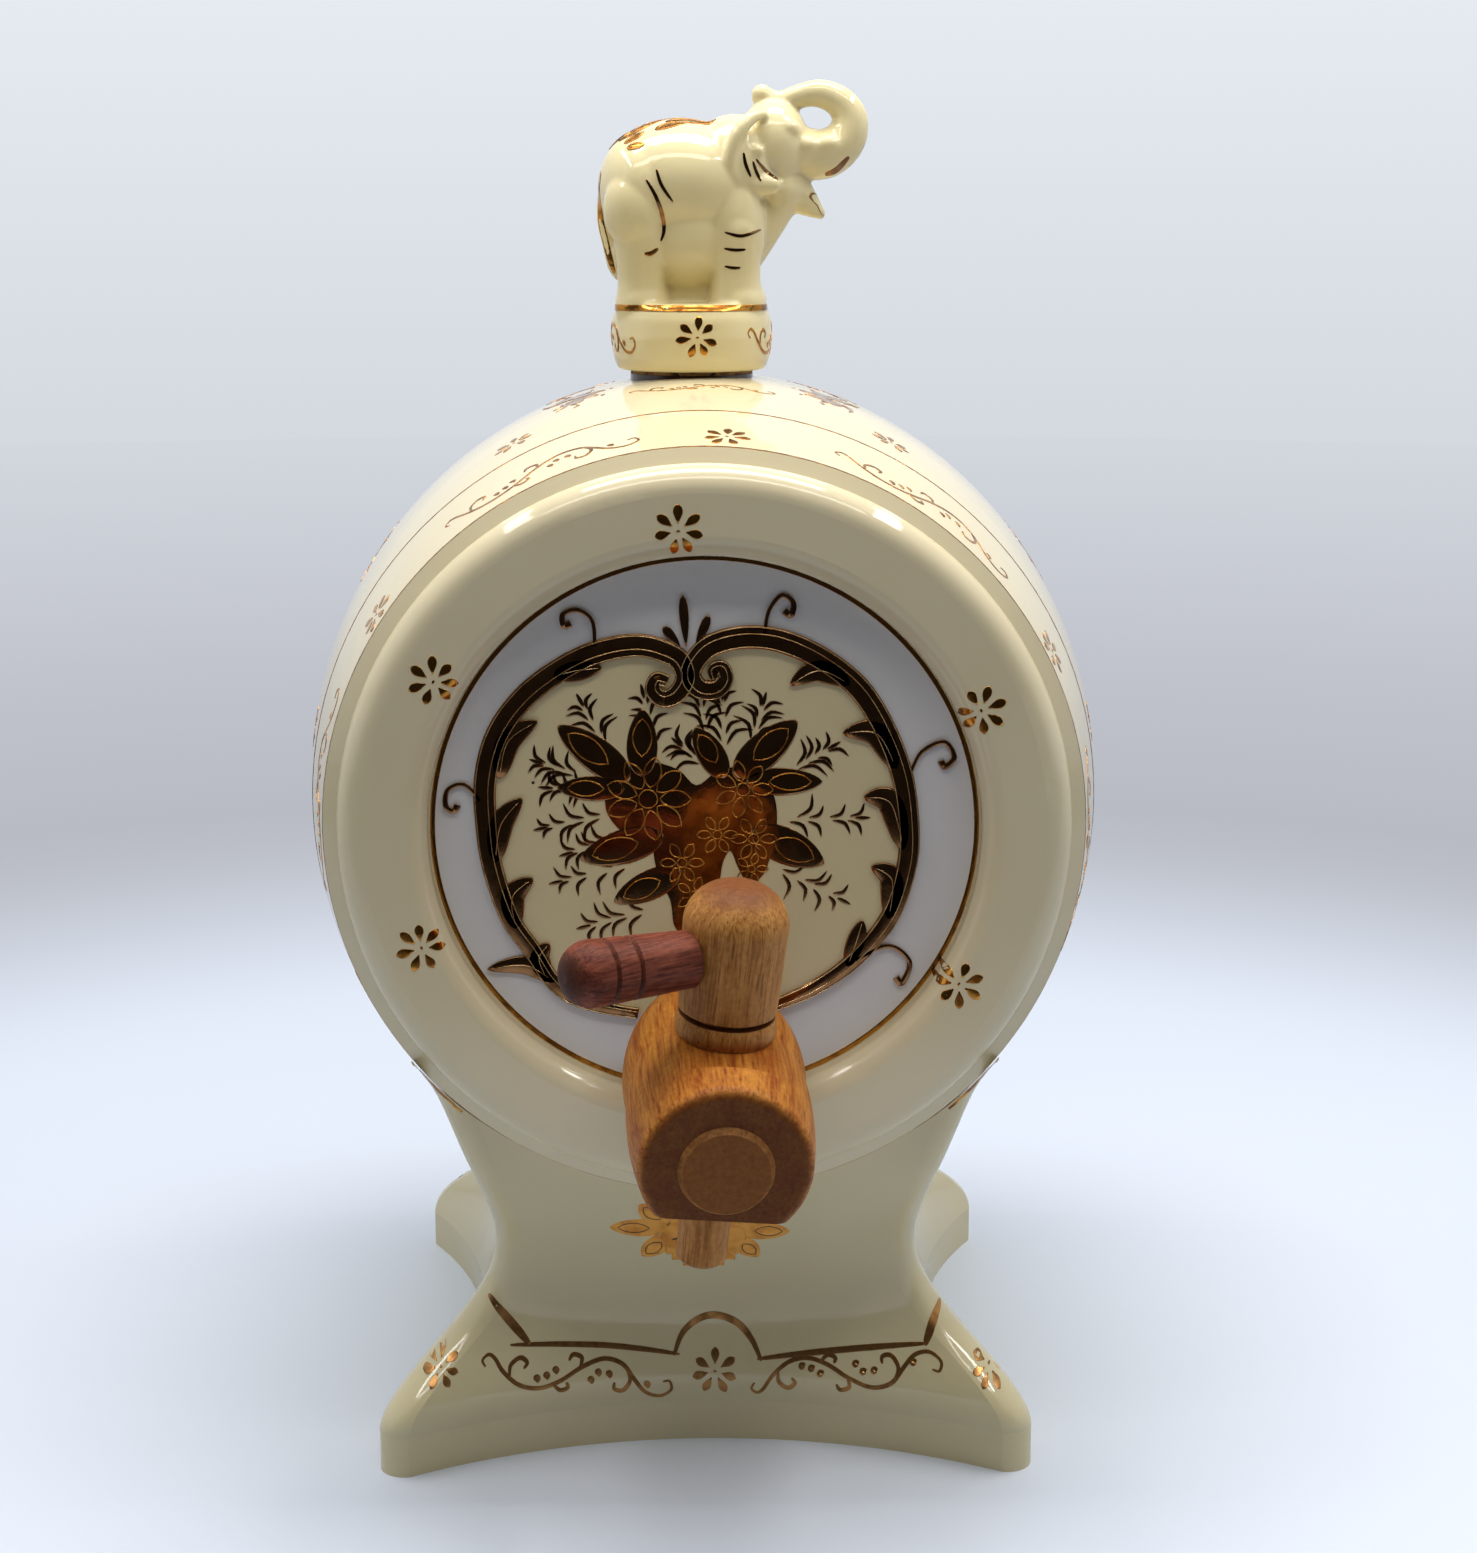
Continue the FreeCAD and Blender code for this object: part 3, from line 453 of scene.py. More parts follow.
def paint(name, body, surface, bm, lustre, mode, places, radius=70, reach=100, depth=45, tilt=(0, 0, 0),
          centre=(0, 0, 0)):
    bmesh.ops.recalc_face_normals(bm, faces=bm.faces)
    bmesh.ops.scale(bm, vec=(mm, mm, mm), verts=bm.verts)
    motifMesh = bpy.data.meshes.new(name + "_motif")
    bm.to_mesh(motifMesh)
    bm.free()
    motif = bpy.data.objects.new(name + "_motif", motifMesh)
    placeMesh = bpy.data.meshes.new(name + "_places")
    placeMesh.from_pydata([(math.radians(a), b * mm, math.radians(c)) for a, b, c in places], [], [])
    piece = bpy.data.objects.new(name, placeMesh)
    for part in (motif, piece):
        scene.collection.objects.link(part)
    modifier = piece.modifiers.new("paint", "NODES")
    modifier.node_group = wrapTrees[mode]
    values = {
        "Motif": motif, "Surface": surface, "Paint": lustre, "Radius": radius * mm, "Reach": reach * mm,
        "Depth": depth * mm, "Tilt": tilt, "Centre": [c * mm for c in centre],
    }
    for item in modifier.node_group.interface.items_tree:
        if item.item_type == "SOCKET" and item.in_out == "INPUT" and item.name in values:
            modifier[item.identifier] = values[item.name]
    evaluated = piece.evaluated_get(bpy.context.evaluated_depsgraph_get())
    painted = bpy.data.meshes.new_from_object(evaluated)
    piece.modifiers.clear()
    piece.data = painted
    painted.name = name
    bpy.data.objects.remove(motif)
    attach(piece, body)
    print(name, len(painted.polygons), "faces")


# barrel: ivory glaze, cool white heads, cream field inside the front frame
barrelLook = {
    "axis": 130.0, "groundRadius": 49.6, "fieldCentre": (-1.3, 0.0), "fieldSpan": 60.0,
    "mouth": (-2.0, 0.0, 208.0), "rimReach": 12.8, "rimShadeTone": "#4A3524",
}
rightBranch = [
    (1.9, 27.6), (1.6, 29.1), (3.1, 29.4), (3.6, 27.4), (2.1, 25.6), (-0.6, 25.6), (-2.4, 27.7), (-1.9, 30.4),
    (1.1, 33.5), (7.0, 35.0), (13.7, 34.3), (21, 31), (27.7, 25.6), (32.4, 18.1), (35.7, 9.3), (37, -0.3),
    (36.7, -7.1), (34.4, -15.3), (30.4, -21.4), (25.7, -26.2), (19.7, -30.3), (14.4, -32.7), (11.6, -33.8),
]
leftBranch = [
    (-6.6, 27.1), (-8.6, 27.6), (-9.3, 25.6), (-7.6, 23.9), (-5.3, 24.6), (-3.6, 27.0), (-3.7, 29.4),
    (-5.6, 31.8), (-11.6, 33.6), (-18.9, 32.5), (-25.6, 29.4), (-32.3, 24.3), (-37.3, 17.5), (-39.6, 9.3),
    (-39.6, 1.1), (-38.6, -7.1), (-35.6, -16.6), (-31.6, -22.8), (-28.3, -28.2), (-24.5, -31.6), (-19, -33.6),
    (-12.4, -34.8),
]
fieldEdge = rightBranch[8:] + [(0, -35.5)] + leftBranch[:6:-1]  # once round, clockwise from the top

barrelGlaze, tree, shader, spot, ivory, speck = glazedPorcelain("ivoryGlazeBarrel", glazeLook["ivory"])
fromAxis = vectors(tree, "SUBTRACT", spot, (0, 0, barrelLook["axis"] * mm))
level = vectors(tree, "MULTIPLY", fromAxis, (1, 0, 1))
away = vectors(tree, "LENGTH", level, result="Value")
onHead = maths(tree, "LESS_THAN", away, barrelLook["groundRadius"] * mm)
fieldX, fieldZ = barrelLook["fieldCentre"]
aside = vectors(tree, "SUBTRACT", level, (fieldX * mm, 0, fieldZ * mm))
asideX, _, asideZ = parts(tree, aside)
bearing = maths(tree, "ARCTAN2", asideZ, asideX)
edgeCurve = addNode(tree, "ShaderNodeFloatCurve", {"Value": spread(tree, bearing, (-math.pi, math.pi))})
edgeLine = edgeCurve.mapping.curves[0]
edgeSpots = sorted(
    ((math.atan2(z - fieldZ, x - fieldX) + math.pi) / (2 * math.pi),
     math.hypot(x - fieldX, z - fieldZ) / barrelLook["fieldSpan"]) for x, z in fieldEdge
)
edgeSpots = [(0, edgeSpots[0][1]), *edgeSpots, (1, edgeSpots[0][1])]
edgeLine.points[0].location, edgeLine.points[1].location = edgeSpots[0], edgeSpots[-1]
for place in edgeSpots[1:-1]:
    edgeLine.points.new(*place)
edgeCurve.mapping.update()
edge = maths(tree, "MULTIPLY", edgeCurve.outputs[0], barrelLook["fieldSpan"] * mm)
inField = maths(tree, "LESS_THAN", vectors(tree, "LENGTH", aside, result="Value"), edge)
ahead = parts(tree, spot)[1]
frontField = maths(tree, "MULTIPLY", inField, maths(tree, "LESS_THAN", ahead, 0.0))
headTone = mixTones(tree, frontField, glazeLook["headGround"], glazeLook["headField"])
barrelTone = mixTones(tree, onHead, ivory, headTone)
fromMouth = vectors(tree, "DISTANCE", spot, [c * mm for c in barrelLook["mouth"]], result="Value")
rimShadeMask = maths(tree, "LESS_THAN", fromMouth, barrelLook["rimReach"] * mm)  # painted shade: the lip round the mouth is painted dark brown for the shadow gap under the stopper
finishGlaze(tree, shader, mixTones(tree, rimShadeMask, barrelTone, barrelLook["rimShadeTone"]), speck)

# painted shade: the stand wears a darker copy of the same ivory glaze
shadedStandGlaze, tree, shader, spot, ivory, speck = glazedPorcelain("ivoryGlazeStandShaded", glazeLook["stand"])
finishGlaze(tree, shader, ivory, speck)

for name, material in (
    ("barrel", barrelGlaze), ("stand", shadedStandGlaze), ("tap_body", woods["tapWood"]),
    ("tap_end_plug", woods["plugWood"]), ("tap_key", woods["keyWood"]), ("key_handle", woods["handleWood"]),
    ("stopper_cork", cork), ("tap_bush", cork), ("key_sleeve", cork),
):
    nodes[name].data.materials.clear()
    nodes[name].data.materials.append(material)
print("glazes on barrel and stand, wood on the tap")

# gold lines, flowers and scrolls round the barrel
barrelPaint = {
    "lift": 0.07, "beltRadius": 69.5, "lines": (69.0, 47.5), "lineHalf": 0.24,
    "beltFlowers": (3.3, 63.5), "beltFlowerSize": 4.4, "beltScrolls": (-25.0, 61.5),
    "ringFlowers": ((-4.8, 0), (-59.4, 0.6), (-111.6, 0), (65, -1), (121, -1.5), (178, 0)),
    "ringFlowerRadius": 55.0, "ringFlowerSize": 4.5, "headLineRadius": 49.3, "headLineHalf": 0.45,
}
barrelLift = barrelPaint["lift"]
barrelAxis = (0, 0, barrelLook["axis"])


def paintBarrel(name, bm, mode, places, radius, tilt=(0, 0, 0)):
    paint(name, "barrel", nodes["barrel"], bm, gold, mode, places, radius, tilt=tilt, centre=barrelAxis)


def beltSpots(first, along, count=6):  # as many round the front belt as round the back one
    turns = [first + 360 / count * k for k in range(count)]
    return [(turn, along * side, 0 if side < 0 else 180) for turn in turns for side in (-1, 1)]


belt = barrelPaint["beltRadius"]
beltLine = drawn(ringLine, belt, barrelPaint["lineHalf"], barrelLift)
linePlaces = [(0, side * along, 0) for along in barrelPaint["lines"] for side in (-1, 1)]
paintBarrel("barrel_gold_lines", beltLine, "round", linePlaces, belt)
beltFlower = drawn(flower, barrelPaint["beltFlowerSize"], barrelLift, seed=3)
paintBarrel("belt_flowers", beltFlower, "round", beltSpots(*barrelPaint["beltFlowers"]), belt)
paintBarrel("belt_scrolls", drawn(scroll, barrelLift), "round", beltSpots(*barrelPaint["beltScrolls"]), belt)

ringPlaces = [(angle, out, 0) for angle, out in barrelPaint["ringFlowers"]]
for name, tilt in (("front", (0, 0, 0)), ("back", (0, 0, math.pi))):
    ringFlower = drawn(flower, barrelPaint["ringFlowerSize"], barrelLift, seed=8)
    paintBarrel(f"{name}_ring_flowers", ringFlower, "face", ringPlaces, barrelPaint["ringFlowerRadius"], tilt)
    headLine = drawn(ringLine, barrelPaint["headLineRadius"], barrelPaint["headLineHalf"], barrelLift)
    paintBarrel(f"{name}_head_line", headLine, "face", once, barrelPaint["headLineRadius"], tilt)

# middle band: a scroll before and behind the mouth, leaf sprays beside it and on the flanks
bandLook = {
    "radius": 77.0, "scrollScale": (0.74, 0.74, 1), "scrolls": ((0, -25.5, 0), (0, 25.5, 180)),
    "leaves": ((-8.5, 2.0, 2.0), (-5.5, 6.0, 1.9), (0.5, 8.0, 2.1), (6.0, 5.5, 1.8), (8.8, 0.5, 1.8)),
    "twigs": (-9, -5.5, 5.5, 9),
    "sprays": (
        (-20, -13, -80), (20, -13, 80), (-20, 13, -100), (20, 13, 100), (-58, -6, -90), (58, -6, 90),
        (-100, 0, -90), (100, 0, 90),
    ),
    "flowerSize": 4.2, "flowerTurns": (-28, 28, -80, 80), "flowerAlong": (-35, 35),
}


def bandSpray(bm):  # a fan of leaves with a dash beyond each, and twigs under them
    leafHeel, leafBend, dashHalf, dashBack, dashDrop = 0.16, 0.12, 0.4, 0.4, 1.2
    (fromX, fromY), (toX, toY) = (1.15, 1.1), (1.42, 1.3)  # a dash starts and ends beyond its leaf's tip
    twigHeel, twigTop, twigFoot, twigHalf, bend = 0.3, -1.2, -3.6, 0.45, 0.2
    for x, y, half in bandLook["leaves"]:
        dab(bm, (x * leafHeel, y * leafHeel), (x, y), half, barrelLift, leafBend)
        heel, tip = (x * fromX - dashBack, y * fromY), (x * toX, y * toY - dashDrop)
        dab(bm, heel, tip, dashHalf, barrelLift, bend)
    for x in bandLook["twigs"]:
        dab(bm, (x * twigHeel, twigTop), (x, twigFoot), twigHalf, barrelLift, bend)


mouthScroll = drawn(scroll, barrelLift)
bmesh.ops.scale(mouthScroll, vec=bandLook["scrollScale"], verts=mouthScroll.verts)
paintBarrel("mouth_scrolls", mouthScroll, "round", bandLook["scrolls"], bandLook["radius"])
paintBarrel("leaf_sprays", drawn(bandSpray), "round", bandLook["sprays"], bandLook["radius"])
bandFlower = drawn(flower, bandLook["flowerSize"], barrelLift, seed=5)
flowerPlaces = [(angle, along, 0) for angle in bandLook["flowerTurns"] for along in bandLook["flowerAlong"]]
paintBarrel("band_flowers", bandFlower, "round", flowerPlaces, bandLook["radius"])

# front head: raised scroll frame with leaf barbs, and a bouquet inside it
frameLook = {
    "lift": 0.5, "ridge": 0.85, "ridgeOffsets": (-0.8, 0.3, 0.85), "ridgeHalf": 0.15, "barbFull": 1.4,
    "barbRidge": 0.16, "finialHalf": 0.9,
    "barbs": (
        ((-27, 28.2), (-22.5, 29.2), (-18.3, 29.6), 1.5), ((-37, 9.5), (-35.4, 16.2), (-30, 20), 1.7),
        ((-38, -6), (-37, 0.8), (-33, 5.8), 1.7), ((-34.5, -18.5), (-35.1, -12.6), (-31.3, -9.1), 1.7),
        ((-29, -28), (-30.4, -24.2), (-28.5, -21.4), 1.5),
        ((26, 26.5), (20.5, 29), (15.3, 26.4), 1.6), ((34.5, 11), (31, 17.4), (24.8, 17.5), 1.8),
        ((36, -4), (33.6, 4.6), (28.7, 5.7), 1.8), ((33.5, -17), (34.0, -9.7), (30.2, -7.2), 1.7),
        ((26, -26), (27.7, -21), (28.7, -17.3), 1.3),
        ((-27.6, -28.6), (-32.9, -25.5), (-39.9, -26.2), 1.3),
    ),
    "curls": (
        ((-19.6, 33.5), (-20.0, 38.0), (-22.6, 40), (-25.2, 39.2), (-25.0, 37.2), (-23.8, 37.6)),
        ((10.7, 35.4), (11.4, 39.6), (13.7, 42.5), (15.8, 41.2), (15.4, 39), (14.1, 39.8)),
        ((-40.6, 5.4), (-43.4, 8.3), (-46.4, 7.3), (-46.8, 4.4), (-45.3, 3.5), (-44.7, 4.6)),
        ((37.2, 10.2), (39.1, 14), (43.1, 15.8), (45.0, 13.0), (43.3, 11.3), (42.6, 12.4)),
        ((27.5, -24.8), (33.5, -22.2), (37.4, -25.2), (36.1, -29.2), (35.0, -28.2)),
    ),
    "finial": (((-3.3, 33.4), (-3.9, 42.6)), ((-4.3, 33.2), (-7.4, 37.0)), ((-1.6, 33.2), (0.8, 39.0))),
}


def paintHead(name, bm, lustre):  # on the front head, drawn from its centre as seen square on
    paint(name, "barrel", nodes["barrel"], bm, lustre, "flat", once,
          tilt=quarterTurn, centre=barrelAxis, reach=95, depth=40)


def frameHalf(t, least=1.05, swell=1.15, closing=1.02, fullness=0.8):  # full on the shoulders
    return least + swell * math.sin(math.pi * min(t * closing, 1)) ** fullness


def beside(line, offset):  # a line that runs beside another, in shares of the frame's half width
    last = len(line) - 1
    moved = []
    for i, spot in enumerate(line):
        along = line[min(i + 1, last)] - line[max(i - 1, 0)]
        moved.append(spot + Vector((-along.y, along.x)).normalized() * offset * frameHalf(i / last))
    return moved


def curlHalf(t, least=0.3, swell=0.35):
    return least + swell * t


body = bmesh.new()
ridges = bmesh.new()
for branch in (rightBranch, leftBranch):
    line = smoothLine(branch, 8)
    stroke(body, line, frameHalf, frameLook["lift"])
    for offset in frameLook["ridgeOffsets"]:
        ridgeLine = beside(line, offset)
        stroke(ridges, ridgeLine, even(frameLook["ridgeHalf"]), frameLook["ridge"], edge=domedEdge)
for *points, half in frameLook["barbs"]:
    line = smoothLine(points, 8)
    stroke(body, line, leafy(half * frameLook["barbFull"]), frameLook["lift"])
    stroke(ridges, line[2:-2], brushed(frameLook["barbRidge"]), frameLook["ridge"], edge=domedEdge)
for points in frameLook["curls"]:
    stroke(body, smoothLine(points, 8), curlHalf, frameLook["lift"])
for points in frameLook["finial"]:
    stroke(body, smoothLine(points, 8), dropped(frameLook["finialHalf"]), frameLook["lift"])
# the frame's body is laid in the painted-shade copy of the gold
paintHead("head_frame", body, shadedGold)
# the ridges are laid in the painted-highlight copy of the gold
paintHead("head_frame_ridges", ridges, highlightGold)

bouquetLook = {
    "lift": 0.1, "leafRise": 1.2, "lineRise": 0.1, "leafLineRise": 0.04, "lineHalf": 0.15, "leafFull": 1.2,
    "heart": 0.26, "heartSides": 14, "petalEnds": (0.3, 1.2), "petalHalf": 0.4, "fernLift": 0.09,
    "leaves": (
        ((-13.6, 9.0), (-26.4, 19.0), 2.7), ((-11.4, 9.6), (-11.2, 22.0), 2.4),
        ((-14.6, 7.4), (-26.6, 7.6), 2.0), ((3.6, 9.4), (-1.8, 18.6), 2.2), ((5.4, 9.6), (16.6, 19.8), 2.8),
        ((7.4, 8.6), (21.2, 8.6), 2.2), ((8.6, -0.6), (21.6, -6.6), 2.9), ((-7.6, -1.2), (-22.6, -5.6), 2.8),
        ((-4.6, -8.0), (-16.6, -13.6), 2.4),
    ),
    "mass": (
        (-15.4, 10.6), (-10.6, 12.4), (-5.0, 11.0), (-1.6, 8.0), (2.0, 10.4), (6.2, 11.4), (10.4, 9.6),
        (12.6, 5.6), (13.0, 0.6), (12.0, -4.6), (10.6, -8.6), (8.0, -10.4), (6.0, -7.4), (4.6, -4.2),
        (3.2, -6.4), (2.4, -10.6), (0.2, -15.4), (-3.0, -20), (-5.6, -18.4), (-6.4, -13.4), (-8.4, -9.4),
        (-9.4, -4.4), (-9.0, -1.2), (-13.6, -1.6), (-17.6, 2.6), (-17.8, 7.0),
    ),
    "daisies": (  # place, size and number of petals
        (-10.3, 5.5, 6.6, 9), (6.9, 7.2, 4.6, 7), (-4.2, -6.4, 3.4, 6), (2.2, -1.2, 3.2, 6),
        (8.8, -2.0, 3.6, 6), (-2.0, -12.5, 3.0, 5), (8.4, -7.6, 2.6, 5),
    ),
    "sprigs": (
        ((-17.5, 14.5), (-22, 23)), ((-8.8, 14.5), (-11, 24.5)), ((0.2, 17), (-1, 25)),
        ((3.5, 14.5), (3.2, 24)), ((8.5, 15.5), (10.5, 23)), ((15.5, 10.5), (22.6, 14.8)),
        ((-22.5, 9.8), (-29.6, 12.2)),
        ((-17.5, 2.6), (-29, 0.2)), ((-16, -2), (-24.5, -4.5)), ((-12.5, -6.5), (-26.4, -9.8)),
        ((-9.8, -15.2), (-21.5, -18.2)), ((14.5, 1.5), (27.8, 1.8)), ((13.2, -7.6), (24.6, -13.4)),
        ((-0.3, 11.9), (-4.4, 15.4)), ((-19, 7), (-28, 7.6)),
    ),
}


def leafLoop(bm, heel, tip, half, lift, first=0.3, last=0.86, steps=8):  # raised outline inside a leaf
    inset, fullness = 0.6, 0.7
    heel, tip = Vector(heel), Vector(tip)
    side = Vector((heel.y - tip.y, tip.x - heel.x)).normalized() * half * inset
    shares = [first + (last - first) * i / steps for i in range(steps + 1)]
    rise = [math.sin(math.pi * i / steps) ** fullness for i in range(steps + 1)]
    out = [heel.lerp(tip, t) + side * r for t, r in zip(shares, rise)]
    back = [heel.lerp(tip, t) - side * r for t, r in zip(shares, rise)]
    stroke(bm, out + back[-2:0:-1], even(bouquetLook["lineHalf"]), lift, closed=True, edge=domedEdge)


def fernSprig(bm, heel, tip, lift, pairs=4, half=0.38):  # feather of short tapered dashes
    firstShare, wander, gap, bend, before, beyond = 0.35, 0.06, 0.5, -0.24, 0.6, 2.2
    angles, reaches, longest, shortens = (38, 62), (0.8, 1.2), 4.9, 1.8
    heel, tip = Vector(heel), Vector(tip)
    along = (tip - heel).normalized()
    hand = random.Random(int(tip.x * 10) + pairs)
    for i in range(pairs):
        t = (i + firstShare) / pairs
        for side in (-1, 1):
            spot = heel.lerp(tip, t + hand.uniform(-wander, wander))
            turned = Matrix.Rotation(side * math.radians(hand.uniform(*angles)), 2) @ along
            start = spot + turned * gap
            reach = turned * hand.uniform(*reaches) * (longest - shortens * t)
            dab(bm, start, start + reach, half, lift, bend * side)
    dab(bm, tip - along * before, tip + along * beyond, half, lift)


def onCircle(share):
    return Vector((math.cos(2 * math.pi * share), math.sin(2 * math.pi * share)))


leafGold = bmesh.new()
lines = bmesh.new()
ferns = bmesh.new()
massLine = smoothLine(bouquetLook["mass"] + bouquetLook["mass"][:1], 4)[:-1]
sheet = [leafGold.verts.new((x, y, bouquetLook["lift"])) for x, y in massLine]
under = [leafGold.verts.new((v.co.x, v.co.y, -bouquetLook["lift"])) for v in sheet]
rim = [leafGold.verts.new(v.co) for v in sheet]  # the top keeps its own corners, so it shades flat
leafGold.faces.new(sheet)
leafGold.faces.new(under[::-1])
for i in range(len(sheet)):
    n = (i + 1) % len(sheet)
    leafGold.faces.new((rim[i], under[i], under[n], rim[n]))
lineLift = bouquetLook["lift"] + bouquetLook["lineRise"]
for heel, tip, half in bouquetLook["leaves"]:
    full = half * bouquetLook["leafFull"]
    stroke(leafGold, smoothLine([heel, tip], 12), leafy(full), bouquetLook["lift"] * bouquetLook["leafRise"])
    leafLoop(lines, heel, tip, full, lineLift + bouquetLook["leafLineRise"])
for x, y, size, petals in bouquetLook["daisies"]:
    centre = Vector((x, y))
    sides = bouquetLook["heartSides"]
    heart = [centre + onCircle(i / sides) * size * bouquetLook["heart"] for i in range(sides)]
    stroke(lines, heart, even(bouquetLook["lineHalf"]), lineLift, closed=True, edge=domedEdge)
    for k in range(petals):
        out = onCircle(k / petals)
        heel, tip = [centre + out * size * share for share in bouquetLook["petalEnds"]]
        leafLoop(lines, heel, tip, size * bouquetLook["petalHalf"], lineLift, first=0.02, last=0.98)
for heel, tip in bouquetLook["sprigs"]:
    fernSprig(ferns, heel, tip, bouquetLook["fernLift"])
# the bouquet's mass and the ferns are laid in the painted-shade copy of the gold
paintHead("head_bouquet", leafGold, shadedGold)
paintHead("head_bouquet_lines", lines, gold)
paintHead("head_ferns", ferns, shadedGold)

# stand: notched line with an arch, scrolls, flowers and a small gilded spray on the panel
standLook = {
    "lift": 0.07, "lineFull": 1.4, "scrollHalf": 0.46, "sprayFull": 1.15, "lineRise": 0.08,
    "line": (
        (((-42.6, 31.4), (-38.4, 26.2), (-34.6, 21.5)), 0.62),
        (((-38.4, 21.9), (-20, 20.0), (-5.2, 17.6)), 0.42),
        (((-6.3, 17.4), (-4.6, 21.6), (-1.2, 24.4), (2.4, 25.0), (6.4, 23.4), (9.2, 20.2), (11.0, 16.4)),
         0.55),
        (((10.2, 16.7), (26, 19.2), (43.4, 22.2)), 0.45), (((43.0, 21.8), (44.6, 26.0), (46.4, 28.8)), 0.6),
    ),
    "scrolls": ((-25.2, 15.4, -10), (27.6, 15.2, 9)),
    "flowers": ((1.8, 14.3, 4.6), (-51.6, 19.8, 3.7), (55.4, 19.0, 3.6)),
    "sprayLeaves": (
        ((-7.0, 48.3), (-12.7, 54), 2.3), ((-7.6, 47.2), (-18.5, 47.9), 2.2),
        ((-7.0, 44.9), (-12.4, 39.6), 2.2), ((6.6, 46.5), (16.2, 46.3), 2.2),
        ((6.0, 44.2), (10.3, 39.2), 2.0), ((6.4, 48.4), (11.8, 53.4), 2.2),
    ),
    "heart": (-0.4, 44.6), "heartHalf": (8.2, 7.4), "heartRows": 9, "rowSpacing": 4.6, "rowHalf": 5.2,
    "zigzagHalf": 0.24,
    "zigzag": (
        (-6.6, 44.2), (-4.6, 44.6), (-5.2, 43.0), (-3.0, 43.4), (-3.6, 41.8), (-1.4, 42.2), (-1.8, 40.9),
        (0.2, 41.2),
    ),
}
standLift = standLook["lift"]


def paintStand(name, bm, lustre):  # on the front panel as seen square on, and the same on the back
    paint(name, "stand", nodes["stand"], bm, lustre, "flat", bothSides,
          tilt=quarterTurn, reach=120, depth=85)


def panelPattern(bm):
    for points, half in standLook["line"]:
        stroke(bm, smoothLine(points, 8), brushed(half * standLook["lineFull"]), standLift)
    for x, y, lean in standLook["scrolls"]:
        before = set(bm.verts)
        scroll(bm, standLift, flip=1 if x < 0 else -1, half=standLook["scrollHalf"])
        fresh = [v for v in bm.verts if v not in before]
        leant = Matrix.Rotation(math.radians(lean), 3, "Z")
        bmesh.ops.rotate(bm, cent=(0, 0, 0), matrix=leant, verts=fresh)
        bmesh.ops.translate(bm, vec=(x, y, 0), verts=fresh)
    for x, y, size in standLook["flowers"]:
        flower(bm, size, standLift, seed=11, centre=(x, y))


spray = bmesh.new()
sprayLines = bmesh.new()
lineLift = standLift + standLook["lineRise"]
for heel, tip, half in standLook["sprayLeaves"]:
    stroke(spray, smoothLine([heel, tip], 12), leafy(half * standLook["sprayFull"]), standLift)
    leafLoop(sprayLines, heel, tip, half, lineLift)
(heartX, heartZ), (heartWide, heartHigh) = standLook["heart"], standLook["heartHalf"]
for row in range(standLook["heartRows"]):  # the heart of the spray is laid on in overlapping level strokes
    height = (row - standLook["heartRows"] // 2) / standLook["rowSpacing"]
    reach = heartWide * math.sqrt(1 - height * height)
    ends = [(heartX + side * reach, heartZ + height * heartHigh) for side in (-1, 1)]
    stroke(spray, smoothLine(ends, 16), even(heartHigh / standLook["rowHalf"]), standLift)
for ends in zip(standLook["zigzag"], standLook["zigzag"][1:]):
    stroke(sprayLines, smoothLine(ends, 4), brushed(standLook["zigzagHalf"]), lineLift)
paintStand("stand_pattern", drawn(panelPattern), brownGold)
paintStand("stand_spray", spray, sprayGold)
paintStand("stand_spray_lines", sprayLines, scratch)

# gold band along the cradle's edge up each horn, found on the stand itself
standMesh = nodes["stand"].data
standTree = BVHTree.FromPolygons(
    [v.co for v in standMesh.vertices], [tuple(p.vertices) for p in standMesh.polygons],
)
hornLook = {
    "from": 40.0, "to": 50.5, "steps": 40, "tenths": (620, 900, 2), "rayFrom": -120, "rayReach": 75,
    "inset": 0.5, "half": 0.6,
}


def fromBarrelAxis(out, angle):  # x and height of a point this far from the barrel's axis
    return out * math.sin(angle), barrelLook["axis"] - out * math.cos(angle)


def hornLine(side):  # the cradle's edge up one horn, read off by rays from the front
    line = []
    for step in range(hornLook["steps"] + 1):
        share = (hornLook["to"] - hornLook["from"]) * step / hornLook["steps"]
        angle = side * math.radians(hornLook["from"] + share)
        for tenth in range(*hornLook["tenths"]):  # tenths of a mm outwards from the axis
            x, z = fromBarrelAxis(tenth / 10, angle)
            start = Vector((x, hornLook["rayFrom"], z)) * mm
            if standTree.ray_cast(start, Vector((0, 1, 0)), hornLook["rayReach"] * mm)[0] is not None:
                line.append(Vector(fromBarrelAxis(tenth / 10 + hornLook["inset"], angle)))
                break
    return line


def hornHalf(t, least=0.4):  # thin at the foot, full at the tip
    return hornLook["half"] * (least + (1 - least) * t * t)


bm = bmesh.new()
for side in (-1, 1):
    stroke(bm, hornLine(side), hornHalf, standLift)
paintStand("cradle_edge_line", bm, gold)

